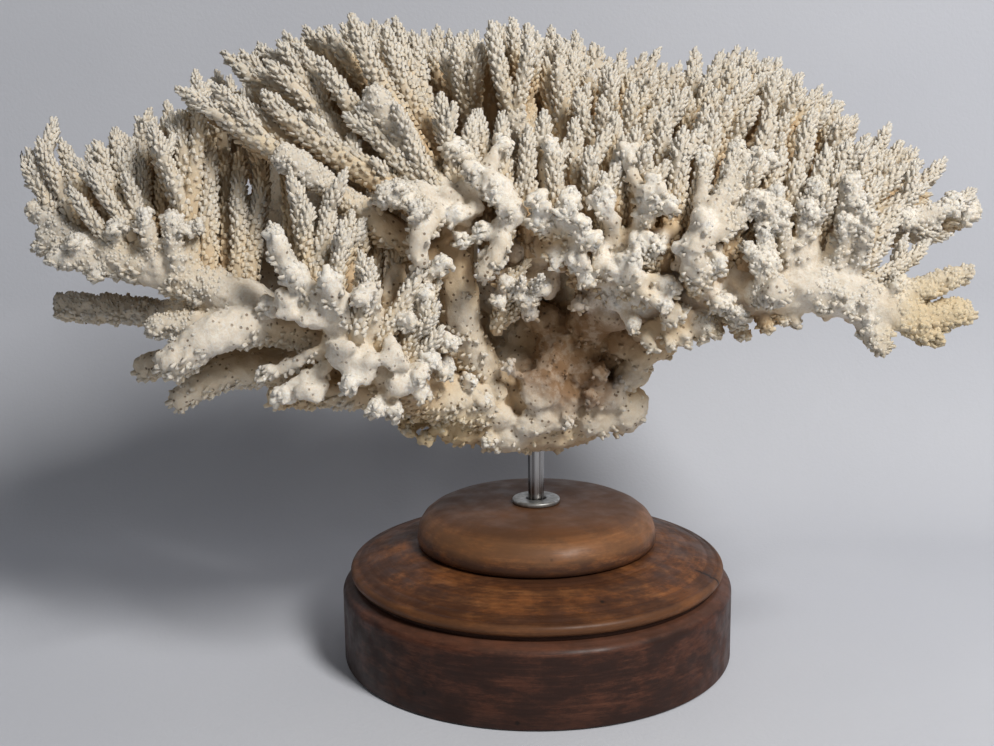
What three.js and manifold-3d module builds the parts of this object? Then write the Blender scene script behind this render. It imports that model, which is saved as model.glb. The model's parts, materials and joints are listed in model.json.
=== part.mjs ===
// A table coral on a turned wooden stand, in millimetres, +Z up.
// The origin is the middle of the stand's underside. +X is to the right and +Y to the back.
// The coral is one skeleton, split at its main forks: a foot, and the limbs that spread from it.
// Each limb is a few bent, tapering branches with its broken stubs, lumps and upright sprigs fused on.
import * as THREE from "three";
import { mergeVertices } from "three/addons/utils/BufferGeometryUtils.js";
import Module from "manifold-3d";

const wasm = await Module();
wasm.setup();

// Driving dimensions of the stand
const JOINT_GAP = 0.35; // room between pieces that touch
const DRUM_RADIUS = 98.5;
const DRUM_HEIGHT = 40;
const PLATE_RADIUS = 94.3;
const PLATE_HEIGHT = 17.5; // from the drum's top to the foot of the dome
const DOME_RADIUS = 60.5;
const DOME_HEIGHT = 19.5;
const ROD_RADIUS = 4;
const ROD_DEPTH_IN_WOOD = 18;
const ROD_LENGTH = 76;
const WASHER_RADIUS = 12;
const WASHER_HOLE_RADIUS = 5.2;
const WASHER_THICKNESS = 2;
const LATHE_SIDES = 26;
const ROD_SIDES = 12;
const WASHER_SIDES = 20;

// Driving dimensions of the coral
const SPRIG_PITCH = 26.3; // between the tips of neighbouring sprigs
const SPRIG_ROOT_RADIUS = 5.2;
const SPRIG_TIP_RADIUS = 4.8;
const SPRIG_SHORTEST = 24;
const SPRIG_LONGEST = 152;
const TIP_UNEVENNESS = 14; // how far a tip may stand below the crown
const FIELD_CENTRE = [-17, 15]; // of the ellipse that the tips fill in plan
const FIELD_HALF_WIDTH = 232;
const FIELD_HALF_DEPTH = 114;
const SPRIG_SIDES = 4;
const BRANCH_SIDES = 5;
const STUB_SIDES = 4;

// Colours and finishes
const WOOD_DARK = new THREE.MeshStandardMaterial({ color: 0x4a2a1d, roughness: 0.5, metalness: 0 });
const WOOD_WARM = new THREE.MeshStandardMaterial({ color: 0x7a4526, roughness: 0.42, metalness: 0 });
const STEEL = new THREE.MeshStandardMaterial({ color: 0xb4b4b2, roughness: 0.25, metalness: 1 });
const CORAL = new THREE.MeshStandardMaterial({ color: 0xd9d0bd, roughness: 0.9, metalness: 0 });

// Heights of the stand's joints
const PLATE_FOOT = DRUM_HEIGHT + JOINT_GAP;
const DOME_FOOT = DRUM_HEIGHT + PLATE_HEIGHT + JOINT_GAP;
const DOME_TOP = DOME_FOOT + DOME_HEIGHT;
const ROD_FOOT = DOME_TOP - ROD_DEPTH_IN_WOOD;
const ROD_TOP = ROD_FOOT + ROD_LENGTH;

// The tops of the sprigs from left to right, as [x, z]: the outline of the coral from the front.
const CROWN = [
  [-250, 246],
  [-226, 258],
  [-204, 263],
  [-158, 280],
  [-150, 296],
  [-120, 309],
  [-90, 319],
  [-45, 320],
  [0, 314],
  [31, 302],
  [76, 303],
  [110, 297],
  [145, 281],
  [174, 262],
  [191, 246],
  [215, 230],
];
// How far the front row stands below that, from left to right, as [x, drop].
const FRONT_DROP = [
  [-250, 0],
  [-150, 8],
  [-110, 34],
  [-40, 24],
  [20, 30],
  [90, 46],
  [150, 44],
  [215, 24],
];
// The front edge of the sprigs in plan, from left to right, as [x, y]. Broken stubs stand before it.
const FRONT_EDGE = [
  [-250, -78],
  [-148, -80],
  [-128, -60],
  [-96, -22],
  [-60, -6],
  [-20, -30],
  [60, -36],
  [86, -66],
  [150, -78],
  [215, -50],
];

// How the sprigs lean, from left to right, as [x, sideways travel for each unit of rise].
const LEAN = [
  [-240, -0.8],
  [-200, -0.5],
  [-160, -0.12],
  [-60, -0.05],
  [0, 0],
  [60, 0.18],
  [110, 0.38],
  [150, 0.55],
  [215, 0.8],
];
const LEAN_FOR_DEPTH = 0.003; // travel back for each unit of rise, at 1 mm behind the middle

// The foot: rounded lumps as [x, y, z, radius x, radius y, radius z].
const FOOT_LUMPS = [
  [4, 0, 138, 41, 35, 31],
  [0, -4, 122, 39, 32, 16],
  [8, 6, 166, 34, 29, 26],
  [42, -16, 129, 15, 16, 13],
  [-34, -20, 128, 21, 19, 15],
  [-12, -27, 119, 17, 12, 11],
];
const FOOT_KNOB = [
  [3, -18, 138, 14],
  [4, -42, 142, 12.5],
];

// The limbs. A point of a branch or stub is [x, y, z, radius]. Branches bear sprigs and stubs do not.
// The sprigs of a limb with a hub all point away from it, and it bears only those whose tips stand
// between two values of x and before one of y.
const LIMBS = [
  {
    name: "coral_stub_low",
    branches: [],
    stubs: [
      [[-30, -14, 138, 12], [-98, -28, 158, 9], [-150, -24, 175, 7], [-229, -15, 182, 6.5]],
    ],
    lumps: [],
  },
  {
    name: "coral_limb_low",
    branches: [],
    stubs: [
      [[-30, -28, 134, 12], [-76, -42, 146, 10], [-110, -44, 158, 8.5]],
      [[-100, -44, 154, 8], [-141, -50, 155, 7], [-164, -56, 145, 5.5]],
      [[-104, -42, 156, 7], [-150, -36, 160, 6.5], [-186, -32, 155, 6]],
      [[-70, -42, 144, 8], [-98, -60, 148, 6.5], [-118, -66, 148, 5]],
    ],
    lumps: [],
  },
  {
    name: "coral_limb_rising",
    branches: [
      [[-22, -24, 142, 12], [-33, -42, 172, 10], [-36, -48, 202, 9.5], [-38, -46, 230, 12], [-60, -26, 248, 9]],
      [[-42, -44, 234, 9], [-78, -34, 252, 7.5], [-112, -26, 268, 6]],
      [[-56, -30, 246, 9], [-82, -6, 256, 7], [-110, 10, 266, 6]],
    ],
    stubs: [
      [[-40, -48, 232, 9], [-56, -50, 256, 8.5], [-70, -50, 279, 8]],
      [[-40, -52, 232, 10], [-64, -76, 239, 6]],
      [[-40, -54, 230, 10], [-50, -76, 220, 7], [-49, -79, 208, 4.5]],
      [[-34, -50, 238, 10], [-16, -62, 246, 9], [-4, -70, 222, 8]],
      [[-8, -68, 230, 8], [-18, -76, 208, 6.5]],
    ],
    lumps: [[-14, -60, 240, 13], [-26, -66, 226, 9]],
    hub: [-28, -45, 192],
    bears: [-150, -44, 12],
  },
  {
    name: "coral_limb_centre",
    branches: [
      [[6, -2, 162, 14], [6, -6, 196, 12], [0, -8, 232, 9]],
      [[6, -4, 188, 9], [34, -10, 228, 7]],
      [[6, -4, 186, 9], [24, 28, 226, 7]],
      [[6, -4, 184, 9], [-26, 26, 222, 7]],
    ],
    stubs: [
      [[6, -10, 186, 10], [-2, -40, 206, 9], [14, -66, 228, 8]],
      [[0, -34, 202, 8], [-16, -54, 198, 6]],
    ],
    lumps: [[14, -52, 206, 11]],
  },
  {
    name: "coral_limb_front_left",
    branches: [
      [[-26, -32, 136, 14], [-56, -58, 150, 14], [-78, -76, 172, 13], [-92, -82, 194, 9]],
    ],
    stubs: [
      [[-90, -82, 190, 7], [-104, -86, 208, 6], [-111, -86, 225, 5]],
      [[-84, -80, 184, 8], [-88, -92, 207, 6.5]],
      [[-74, -74, 176, 8], [-70, -86, 211, 6]],
      [[-64, -66, 160, 8], [-44, -72, 188, 6], [-41, -70, 210, 4.5]],
      [[-70, -68, 166, 8], [-62, -60, 198, 6], [-56, -56, 226, 4.5]],
      [[-78, -74, 176, 7], [-84, -62, 208, 6], [-84, -58, 234, 4.5]],
      [[-88, -80, 186, 7], [-102, -70, 214, 5.5], [-106, -66, 240, 4.5]],
    ],
    lumps: [
      [-100, -90, 178, 10],
      [-88, -90, 163, 10],
      [-62, -80, 156, 11],
      [-66, -86, 186, 9],
      [-46, -70, 166, 9],
    ],
  },
  {
    name: "coral_limb_front_right",
    branches: [
      [[18, -14, 158, 13], [30, -38, 184, 12], [38, -46, 208, 9]],
    ],
    stubs: [
      [[28, -36, 186, 8], [12, -60, 224, 6.5], [11, -66, 240, 5.5]],
      [[36, -46, 200, 7], [34, -70, 234, 5.5]],
      [[38, -48, 204, 7], [51, -68, 240, 5.5]],
      [[32, -40, 184, 8], [29, -68, 212, 6]],
      [[36, -44, 190, 8], [42, -72, 200, 6]],
      [[40, -50, 204, 7], [66, -60, 224, 5]],
    ],
    lumps: [
      [34, -46, 178, 11],
      [38, -54, 203, 10],
      [52, -60, 230, 9],
      [48, -50, 186, 11],
    ],
  },
  {
    name: "coral_limb_right_front",
    branches: [
      [[30, -12, 154, 14], [60, -34, 180, 13], [90, -50, 191, 12], [122, -60, 194, 12], [158, -65, 186, 9]],
    ],
    stubs: [
      [[140, -64, 190, 8], [168, -64, 181, 7], [190, -62, 184, 5.5]],
      [[148, -64, 188, 7], [172, -62, 194, 5], [192, -60, 202, 3.5]],
      [[158, -65, 184, 7], [176, -67, 173, 4.5]],
      [[144, -64, 186, 8], [152, -70, 171, 5]],
      [[96, -52, 192, 8], [104, -80, 196, 6]],
      [[78, -46, 190, 8], [70, -72, 204, 6], [68, -76, 215, 5]],
      [[66, -40, 182, 7], [60, -66, 184, 5]],
    ],
    lumps: [
      [88, -56, 198, 13],
      [112, -58, 196, 14],
      [136, -58, 194, 14],
      [152, -62, 184, 13],
      [98, -60, 220, 12],
      [124, -56, 218, 12],
      [70, -60, 206, 11],
      [142, -60, 230, 8],
    ],
  },
  {
    name: "coral_limb_left_front",
    branches: [
      [[-50, -44, 158, 10], [-108, -56, 176, 14], [-150, -59, 198, 13], [-190, -56, 210, 11], [-222, -50, 217, 7]],
    ],
    stubs: [
      [[-112, -58, 180, 11], [-138, -79, 180, 10.5], [-160, -86, 167, 9]],
      [[-132, -58, 182, 7], [-171, -63, 180, 5.5]],
      [[-200, -56, 214, 7], [-228, -48, 236, 5]],
      [[-204, -54, 214, 7], [-224, -50, 255, 5]],
      [[-190, -52, 210, 7], [-204, -48, 259, 5]],
      [[-190, -58, 208, 7], [-216, -62, 212, 5]],
    ],
    lumps: [[-128, -66, 192, 11], [-180, -66, 210, 9]],
  },
  {
    name: "coral_limb_left",
    branches: [
      [[-26, 2, 144, 13], [-90, 0, 172, 12], [-145, 0, 196, 11], [-190, 2, 212, 9], [-222, 2, 224, 7]],
      [[-140, 0, 194, 9], [-180, 28, 210, 8], [-214, 40, 226, 6]],
    ],
    stubs: [],
    lumps: [],
  },
  {
    name: "coral_limb_right",
    branches: [
      [[30, 0, 154, 13], [80, -2, 186, 12], [122, -6, 204, 11], [160, -12, 214, 9], [198, -20, 222, 6]],
      [[122, -6, 204, 9], [160, 16, 216, 8], [194, 26, 222, 6]],
    ],
    stubs: [
      [[176, -18, 218, 7], [203, -26, 226, 5.5]],
      [[150, -14, 212, 7], [170, -42, 222, 5.5]],
    ],
    lumps: [[142, -24, 212, 9]],
  },
  {
    name: "coral_limb_left_back",
    branches: [
      [[-24, 14, 144, 13], [-80, 42, 172, 12], [-130, 62, 200, 11], [-184, 76, 222, 7]],
    ],
    stubs: [],
    lumps: [],
  },
  {
    name: "coral_limb_right_back",
    branches: [
      [[28, 12, 150, 13], [78, 38, 184, 12], [122, 54, 206, 10], [166, 66, 224, 7]],
    ],
    stubs: [],
    lumps: [],
  },
  {
    name: "coral_limb_back_left",
    branches: [
      [[-12, 20, 146, 12], [-44, 66, 180, 11], [-66, 106, 212, 7]],
      [[-44, 66, 180, 9], [-86, 88, 202, 8], [-120, 104, 220, 6]],
    ],
    stubs: [],
    lumps: [],
  },
  {
    name: "coral_limb_back",
    branches: [
      [[2, 22, 148, 12], [-2, 72, 184, 11], [-14, 112, 216, 7]],
      [[-2, 66, 180, 8], [22, 96, 204, 7], [32, 116, 220, 6]],
    ],
    stubs: [],
    lumps: [],
  },
  {
    name: "coral_limb_back_right",
    branches: [
      [[18, 20, 148, 12], [46, 60, 182, 11], [70, 98, 212, 7]],
      [[46, 60, 182, 8], [86, 78, 204, 7], [116, 98, 220, 6]],
    ],
    stubs: [],
    lumps: [],
  },
];

// A repeatable number from 0 to 1 for each n.
function chance(n) {
  const s = Math.sin(n * 12.9898 + 78.233) * 43758.5453;
  return s - Math.floor(s);
}

// The value at x along a list of [x, value] points.
function along(list, x) {
  const next = list.findIndex(([at]) => at >= x);
  if (next <= 0) return next < 0 ? list.at(-1)[1] : list[0][1];
  const [x0, v0] = list[next - 1];
  const [x1, v1] = list[next];
  return v0 + ((v1 - v0) * (x - x0)) / (x1 - x0);
}

// The height of the coral's crown over a point of the plan. It falls towards the front and the back.
function crown(x, y) {
  const front = along(FRONT_DROP, x) * THREE.MathUtils.smoothstep(-y, 8, 66);
  const back = 42 * THREE.MathUtils.smoothstep(y, 62, 128);
  return along(CROWN, x) - front - back;
}

// A geometry as a solid.
function solid(geometry) {
  const bare = new THREE.BufferGeometry();
  bare.setAttribute("position", geometry.getAttribute("position"));
  bare.setIndex(geometry.index);
  const merged = mergeVertices(bare, 1e-3);
  return new wasm.Manifold(
    new wasm.Mesh({
      numProp: 3,
      vertProperties: new Float32Array(merged.getAttribute("position").array),
      triVerts: new Uint32Array(merged.index.array),
    }),
  );
}

// A solid as a geometry.
function geometryOf(made) {
  const { vertProperties, triVerts, numProp } = made.getMesh();
  const position = new Float32Array((vertProperties.length / numProp) * 3);
  for (let i = 0; i < position.length / 3; i++) {
    position.set(vertProperties.subarray(i * numProp, i * numProp + 3), i * 3);
  }
  return new THREE.BufferGeometry()
    .setAttribute("position", new THREE.BufferAttribute(position, 3))
    .setIndex(new THREE.BufferAttribute(triVerts, 1));
}

// The curve through points of [x, y, z, radius].
function curveThrough(points) {
  const places = points.map(([x, y, z]) => new THREE.Vector3(x, y, z));
  return points.length > 2 ? new THREE.CatmullRomCurve3(places) : new THREE.LineCurve3(...places);
}

// The radius at a share t of the way along those points.
function radiusAlong(points, t) {
  const s = t * (points.length - 1);
  const i = Math.min(points.length - 2, Math.floor(s));
  return THREE.MathUtils.lerp(points[i][3], points[i + 1][3], s - i);
}

// A tapering tube along points, from a cylinder whose rings are moved onto their curve. Its end is domed.
function tube(points, sides, rings, grow) {
  const curve = curveThrough(points);
  const { tangents, normals } = curve.computeFrenetFrames(rings, false);
  const geometry = new THREE.CylinderGeometry(1, 1, 1, sides, rings);
  const position = geometry.getAttribute("position");
  const local = new THREE.Vector3();
  for (let i = 0; i < position.count; i++) {
    local.fromBufferAttribute(position, i);
    const ring = Math.round((local.y + 0.5) * rings);
    const across = new THREE.Vector3().crossVectors(normals[ring], tangents[ring]);
    const radius = radiusAlong(points, ring / rings) + grow;
    const place = curve.getPoint(ring / rings);
    const atMiddle = Math.hypot(local.x, local.z) < 0.5;
    if (atMiddle && ring === rings) place.addScaledVector(tangents[ring], radius * 0.5);
    place.addScaledVector(normals[ring], local.x * radius);
    place.addScaledVector(across, local.z * radius);
    position.setXYZ(i, place.x, place.y, place.z);
  }
  return solid(geometry);
}

// A faceted lump.
function lump([x, y, z, rx, ry = rx, rz = rx], grow, detail) {
  const ball = new THREE.IcosahedronGeometry(1, detail);
  ball.scale(rx + grow, ry + grow, rz + grow);
  ball.translate(x, y, z);
  return solid(ball);
}

// The tips of the sprigs: points of a triangular grid, shaken a little, that fill the ellipse in plan.
function sprigTips() {
  const [middleX, middleY] = FIELD_CENTRE;
  const rowPitch = SPRIG_PITCH * Math.sqrt(0.75);
  const rows = Math.ceil(FIELD_HALF_DEPTH / rowPitch);
  const columns = Math.ceil(FIELD_HALF_WIDTH / SPRIG_PITCH);
  const tips = [];
  for (let row = -rows; row <= rows; row++) {
    for (let column = -columns; column <= columns; column++) {
      const seed = (row + 50) * 100 + column + 50;
      const x = middleX + (column + 0.5 * (row % 2) + 0.4 * (chance(seed) - 0.5)) * SPRIG_PITCH;
      const y = middleY + (row + 0.4 * (chance(seed + 0.37) - 0.5)) * rowPitch;
      const u = (x - middleX) / FIELD_HALF_WIDTH;
      const v = (y - middleY) / FIELD_HALF_DEPTH;
      if (u * u + v * v > 1 || y < along(FRONT_EDGE, x)) continue;
      tips.push(new THREE.Vector3(x, y, crown(x, y) - TIP_UNEVENNESS * chance(seed + 0.71)));
    }
  }
  return tips;
}

// The places along a limb's branches where a sprig can grow.
function growingPlaces(limb) {
  const places = [];
  for (const branch of limb.branches) {
    const curve = curveThrough(branch);
    const steps = Math.ceil(curve.getLength() / 8);
    for (let step = Math.ceil(steps * 0.2); step <= steps; step++) {
      places.push(curve.getPoint(step / steps));
    }
  }
  return places;
}

// The lean of a limb's sprig with this tip: its travel in x and in y for each unit of rise.
function leanAt(limb, tip) {
  if (!limb.hub) return [along(LEAN, tip.x), LEAN_FOR_DEPTH * (tip.y - FIELD_CENTRE[1])];
  const [left, right, back] = limb.bears;
  if (tip.x < left || tip.x > right || tip.y > back) return [Infinity, 0];
  const rise = tip.z - limb.hub[2];
  return [(tip.x - limb.hub[0]) / rise, (tip.y - limb.hub[1]) / rise];
}

// Each limb's sprigs, as [root, tip] pairs: a sprig grows from the branch that needs the least bend.
function growSprigs() {
  const sprigs = LIMBS.map(() => []);
  const grounds = LIMBS.map(growingPlaces);
  for (const tip of sprigTips()) {
    let best = { cost: Infinity };
    grounds.forEach((places, index) => {
      const lean = leanAt(LIMBS[index], tip);
      for (const place of places) {
        const rise = tip.z - place.z;
        if (rise < SPRIG_SHORTEST || rise > SPRIG_LONGEST) continue;
        const aside = Math.hypot(tip.x - place.x - lean[0] * rise, tip.y - place.y - lean[1] * rise);
        const cost = aside + 0.3 * rise;
        if (aside < 6 + 0.42 * rise && cost < best.cost) best = { cost, index, place };
      }
    });
    if (best.place) sprigs[best.index].push([best.place.clone().lerp(tip, 0.04), tip]);
  }
  return sprigs;
}

const SPRIGS = growSprigs();

// One limb with all that is fused to it, grown outwards by grow.
function limbSolid(limb, index, grow) {
  const pieces = limb.lumps.map((place) => lump(place, grow, 0));
  for (const branch of limb.branches) {
    pieces.push(tube(branch, BRANCH_SIDES, branch.length - 1, grow));
  }
  for (const stub of limb.stubs) pieces.push(tube(stub, STUB_SIDES, stub.length - 1, grow));
  for (const [root, tip] of SPRIGS[index]) {
    const points = [[...root, SPRIG_ROOT_RADIUS], [...tip, SPRIG_TIP_RADIUS]];
    pieces.push(tube(points, SPRIG_SIDES, 1, grow));
  }
  return wasm.Manifold.union(pieces);
}

// The foot, which takes the top of the rod.
function footSolid(grow) {
  const pieces = FOOT_LUMPS.map((place, i) => lump(place, grow, i === 0 ? 1 : 0));
  pieces.push(tube(FOOT_KNOB, 8, 1, grow));
  return wasm.Manifold.union(pieces);
}

// The largest body of a solid, as a geometry: a cut leaves chips, some of them on a hair-thin bridge.
function bodyOf(made) {
  const largest = (pieces) => pieces.sort((a, b) => b.volume() - a.volume())[0];
  const body = geometryOf(largest(made.decompose()));
  return geometryOf(largest(solid(body).decompose()));
}

function boxesMeet(a, b) {
  const [p, q] = [a.boundingBox(), b.boundingBox()];
  return [0, 1, 2].every((k) => p.min[k] < q.max[k] && q.min[k] < p.max[k]);
}

// A turned piece, from its half profile of [radius, height] points.
function turned(profile) {
  const points = profile.map(([radius, z]) => new THREE.Vector2(radius, z));
  return new THREE.LatheGeometry(points, LATHE_SIDES).rotateX(Math.PI / 2);
}

function cylinder(radius, from, to, sides) {
  const made = new THREE.CylinderGeometry(radius, radius, to - from, sides);
  return made.rotateX(Math.PI / 2).translate(0, 0, (from + to) / 2);
}

const object = new THREE.Group();

function add(name, geometry, material) {
  const mesh = new THREE.Mesh(geometry, material);
  mesh.name = name;
  object.add(mesh);
}

// The stand: a drum, a moulded plate on it, and a dome that takes the rod.
add(
  "stand_drum",
  turned([
    [0, 0],
    [DRUM_RADIUS - 1, 0],
    [DRUM_RADIUS, 1.5],
    [DRUM_RADIUS, DRUM_HEIGHT - 6],
    [DRUM_RADIUS - 1.4, DRUM_HEIGHT - 2],
    [DRUM_RADIUS - 4.4, DRUM_HEIGHT],
    [0, DRUM_HEIGHT],
  ]),
  WOOD_DARK,
);
add(
  "stand_plate",
  turned([
    [0, PLATE_FOOT],
    [PLATE_RADIUS - 2, PLATE_FOOT],
    [PLATE_RADIUS - 2, PLATE_FOOT + 2.4],
    [PLATE_RADIUS, PLATE_FOOT + 4],
    [PLATE_RADIUS - 1.6, PLATE_FOOT + 7.4],
    [PLATE_RADIUS - 16, DOME_FOOT - 3],
    [DOME_RADIUS - 2, DOME_FOOT - JOINT_GAP],
    [0, DOME_FOOT - JOINT_GAP],
  ]),
  WOOD_WARM,
);
const dome = solid(
  turned([
    [0, DOME_FOOT],
    [DOME_RADIUS - 2, DOME_FOOT],
    [DOME_RADIUS, DOME_FOOT + 3],
    [DOME_RADIUS - 0.8, DOME_FOOT + 8],
    [DOME_RADIUS - 4.6, DOME_FOOT + 13],
    [DOME_RADIUS - 11, DOME_FOOT + 17],
    [DOME_RADIUS - 20, DOME_FOOT + 19],
    [WASHER_RADIUS + 2, DOME_TOP],
    [0, DOME_TOP],
  ]),
);
const rodRoom = solid(cylinder(ROD_RADIUS + 2 * JOINT_GAP, ROD_FOOT - JOINT_GAP, ROD_TOP + JOINT_GAP, ROD_SIDES));
add("stand_dome", geometryOf(dome.subtract(rodRoom)), WOOD_WARM);
add("steel_rod", cylinder(ROD_RADIUS, ROD_FOOT, ROD_TOP, ROD_SIDES), STEEL);

const washerFoot = DOME_TOP + JOINT_GAP;
const washer = solid(cylinder(WASHER_RADIUS, washerFoot, washerFoot + WASHER_THICKNESS, WASHER_SIDES));
const washerHole = solid(cylinder(WASHER_HOLE_RADIUS, DOME_TOP, washerFoot + 2 * WASHER_THICKNESS, ROD_SIDES));
add("steel_washer", geometryOf(washer.subtract(washerHole)), STEEL);

// The coral: each piece is cut clear of the rod and of the pieces made before it.
add("coral_foot", bodyOf(footSolid(0).subtract(rodRoom)), CORAL);
const taken = [footSolid(JOINT_GAP), rodRoom];
LIMBS.forEach((limb, index) => {
  let made = limbSolid(limb, index, 0);
  for (const other of taken) {
    if (boxesMeet(made, other)) made = made.subtract(other);
  }
  add(limb.name, bodyOf(made), CORAL);
  taken.push(limbSolid(limb, index, JOINT_GAP));
});

export default object;
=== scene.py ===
import json
import math

import bpy
import numpy as np
from mathutils import Matrix, Vector

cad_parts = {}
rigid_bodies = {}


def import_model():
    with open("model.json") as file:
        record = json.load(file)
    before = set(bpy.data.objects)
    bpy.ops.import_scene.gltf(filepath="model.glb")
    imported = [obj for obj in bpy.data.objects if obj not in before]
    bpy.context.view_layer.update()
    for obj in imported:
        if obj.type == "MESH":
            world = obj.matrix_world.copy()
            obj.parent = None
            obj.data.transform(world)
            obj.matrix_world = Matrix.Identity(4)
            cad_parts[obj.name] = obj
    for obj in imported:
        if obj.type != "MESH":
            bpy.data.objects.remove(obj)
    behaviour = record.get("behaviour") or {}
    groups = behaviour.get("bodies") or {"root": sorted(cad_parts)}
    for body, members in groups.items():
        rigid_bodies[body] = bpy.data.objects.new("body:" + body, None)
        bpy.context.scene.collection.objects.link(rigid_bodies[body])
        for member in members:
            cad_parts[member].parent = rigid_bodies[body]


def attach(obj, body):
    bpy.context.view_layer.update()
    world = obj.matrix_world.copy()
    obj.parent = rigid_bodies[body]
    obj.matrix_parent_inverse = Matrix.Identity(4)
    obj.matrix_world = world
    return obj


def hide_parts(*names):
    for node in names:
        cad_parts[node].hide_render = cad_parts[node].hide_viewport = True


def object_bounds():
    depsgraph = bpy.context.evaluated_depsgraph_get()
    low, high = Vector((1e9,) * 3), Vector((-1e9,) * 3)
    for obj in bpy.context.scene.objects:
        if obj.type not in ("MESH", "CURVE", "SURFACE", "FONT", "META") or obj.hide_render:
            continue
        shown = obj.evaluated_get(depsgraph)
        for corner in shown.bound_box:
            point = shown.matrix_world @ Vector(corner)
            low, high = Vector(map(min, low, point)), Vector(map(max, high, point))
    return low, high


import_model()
cad_box = [list(corner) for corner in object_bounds()]

# The camera: a phone held a little above the coral's middle, about 0.7 m in front of it, looking
# slightly down and a touch to the left, with the horizon not quite level.
IMAGE_WIDTH = 994
FOCAL_LENGTH_IN_PIXELS = 1400
LOOKS_DOWN = math.radians(11.838)
LOOKS_LEFT = math.radians(1.604)
HORIZON_TILT = math.radians(0.666)

camera = bpy.data.objects.new("camera", bpy.data.cameras.new("camera"))
bpy.context.scene.collection.objects.link(camera)
bpy.context.scene.camera = camera
camera.data.sensor_width = 36
camera.data.lens = 36 * FOCAL_LENGTH_IN_PIXELS / IMAGE_WIDTH
camera.data.clip_start = 0.01
aim = Matrix.Rotation(LOOKS_LEFT, 4, "Z") @ Matrix.Rotation(math.pi / 2 - LOOKS_DOWN, 4, "X")
camera.matrix_world = (
    Matrix.Translation((0, -0.6806, 0.2867)) @ aim @ Matrix.Rotation(-HORIZON_TILT, 4, "Z")
)


# The room: one pale cool-grey sheet that lies as the floor and bends up as the wall, with a broad
# soft light from the upper right, a weak one from the left and an even sky. All of it is staging.
def deselect():
    if bpy.context.object and bpy.context.object.mode == "EDIT":
        bpy.ops.object.mode_set(mode="OBJECT")
    bpy.ops.object.select_all(action="DESELECT")


def choose(piece):
    deselect()
    piece.select_set(True)
    bpy.context.view_layer.objects.active = piece


def apply_modifier(piece, kind, **settings):
    choose(piece)
    bpy.ops.object.modifier_add(type=kind)
    modifier = piece.modifiers[-1]
    for name, value in settings.items():
        setattr(modifier, name, value)
    bpy.ops.object.modifier_apply(modifier=modifier.name)


def node(tree, kind, inputs=None, **settings):
    made = tree.nodes.new("ShaderNode" + kind)
    for name, value in settings.items():
        setattr(made, name, value)
    for key, value in (inputs or {}).items():
        if isinstance(value, bpy.types.NodeSocket):
            tree.links.new(value, made.inputs[key])
        else:
            made.inputs[key].default_value = value
    return made


def maths(tree, operation, a, b=0.0):
    return node(tree, "Math", {0: a, 1: b}, operation=operation).outputs[0]


def blended(tree, share, a, b, how="MIX"):
    made = node(tree, "Mix", {0: share, 6: a, 7: b}, data_type="RGBA", blend_type=how)
    return made.outputs[2]


def ranged(tree, value, start, end, low=0.0, high=1.0):
    inputs = {"Value": value, "From Min": start, "From Max": end, "To Min": low, "To Max": high}
    return node(tree, "MapRange", inputs, interpolation_type="SMOOTHSTEP").outputs[0]


def grain(tree, place, scale, detail=3.0, roughness=0.55):
    inputs = {"Vector": place, "Scale": scale, "Detail": detail, "Roughness": roughness}
    return node(tree, "TexNoise", inputs).outputs["Fac"]


def object_place(tree):
    return tree.nodes.new("ShaderNodeTexCoord").outputs["Object"]


def finish_for(name):
    material = bpy.data.materials.new(name)
    material.use_nodes = True
    tree = material.node_tree
    return material, tree, tree.nodes["Principled BSDF"]


def bumped(tree, shader, height, distance, strength=1.0):
    inputs = {"Height": height, "Distance": distance, "Strength": strength}
    tree.links.new(node(tree, "Bump", inputs).outputs[0], shader.inputs["Normal"])


FLOOR_SIZE = 4.0
WALL_BEHIND = 0.30
BEND_RADIUS = 0.14

deselect()
bpy.ops.mesh.primitive_plane_add(size=FLOOR_SIZE, location=(0, WALL_BEHIND - FLOOR_SIZE / 2, -0.0004))
backdrop = bpy.context.object
backdrop.name = "backdrop"
bpy.ops.object.transform_apply(location=True)
bpy.ops.object.mode_set(mode="EDIT")
bpy.ops.mesh.select_all(action="DESELECT")
bpy.ops.object.mode_set(mode="OBJECT")
for edge in backdrop.data.edges:
    edge.select = all(backdrop.data.vertices[v].co.y > WALL_BEHIND - 0.01 for v in edge.vertices)
bpy.ops.object.mode_set(mode="EDIT")
bpy.ops.mesh.extrude_region_move(TRANSFORM_OT_translate={"value": (0, 0, 2.6)})
bpy.ops.object.mode_set(mode="OBJECT")
for edge in backdrop.data.edges:
    ends = [backdrop.data.vertices[v].co for v in edge.vertices]
    edge.select = all(end.y > WALL_BEHIND - 0.01 and end.z < 0.1 for end in ends)
bpy.ops.object.mode_set(mode="EDIT")
bpy.ops.mesh.bevel(offset=BEND_RADIUS, segments=24, affect="EDGES")
bpy.ops.object.mode_set(mode="OBJECT")
bpy.ops.object.shade_smooth()

paint, tree, shader = finish_for("backdrop_paint")
place = object_place(tree)
cloudy = ranged(tree, grain(tree, place, 3.0), 0.35, 0.7)
tone = blended(tree, cloudy, (0.535, 0.55, 0.593, 1), (0.57, 0.585, 0.625, 1))
tree.links.new(tone, shader.inputs["Base Color"])
shader.inputs["Roughness"].default_value = 0.9
shader.inputs["Specular IOR Level"].default_value = 0.15
bumped(tree, shader, grain(tree, place, 420.0), 0.0003, 0.5)

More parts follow.
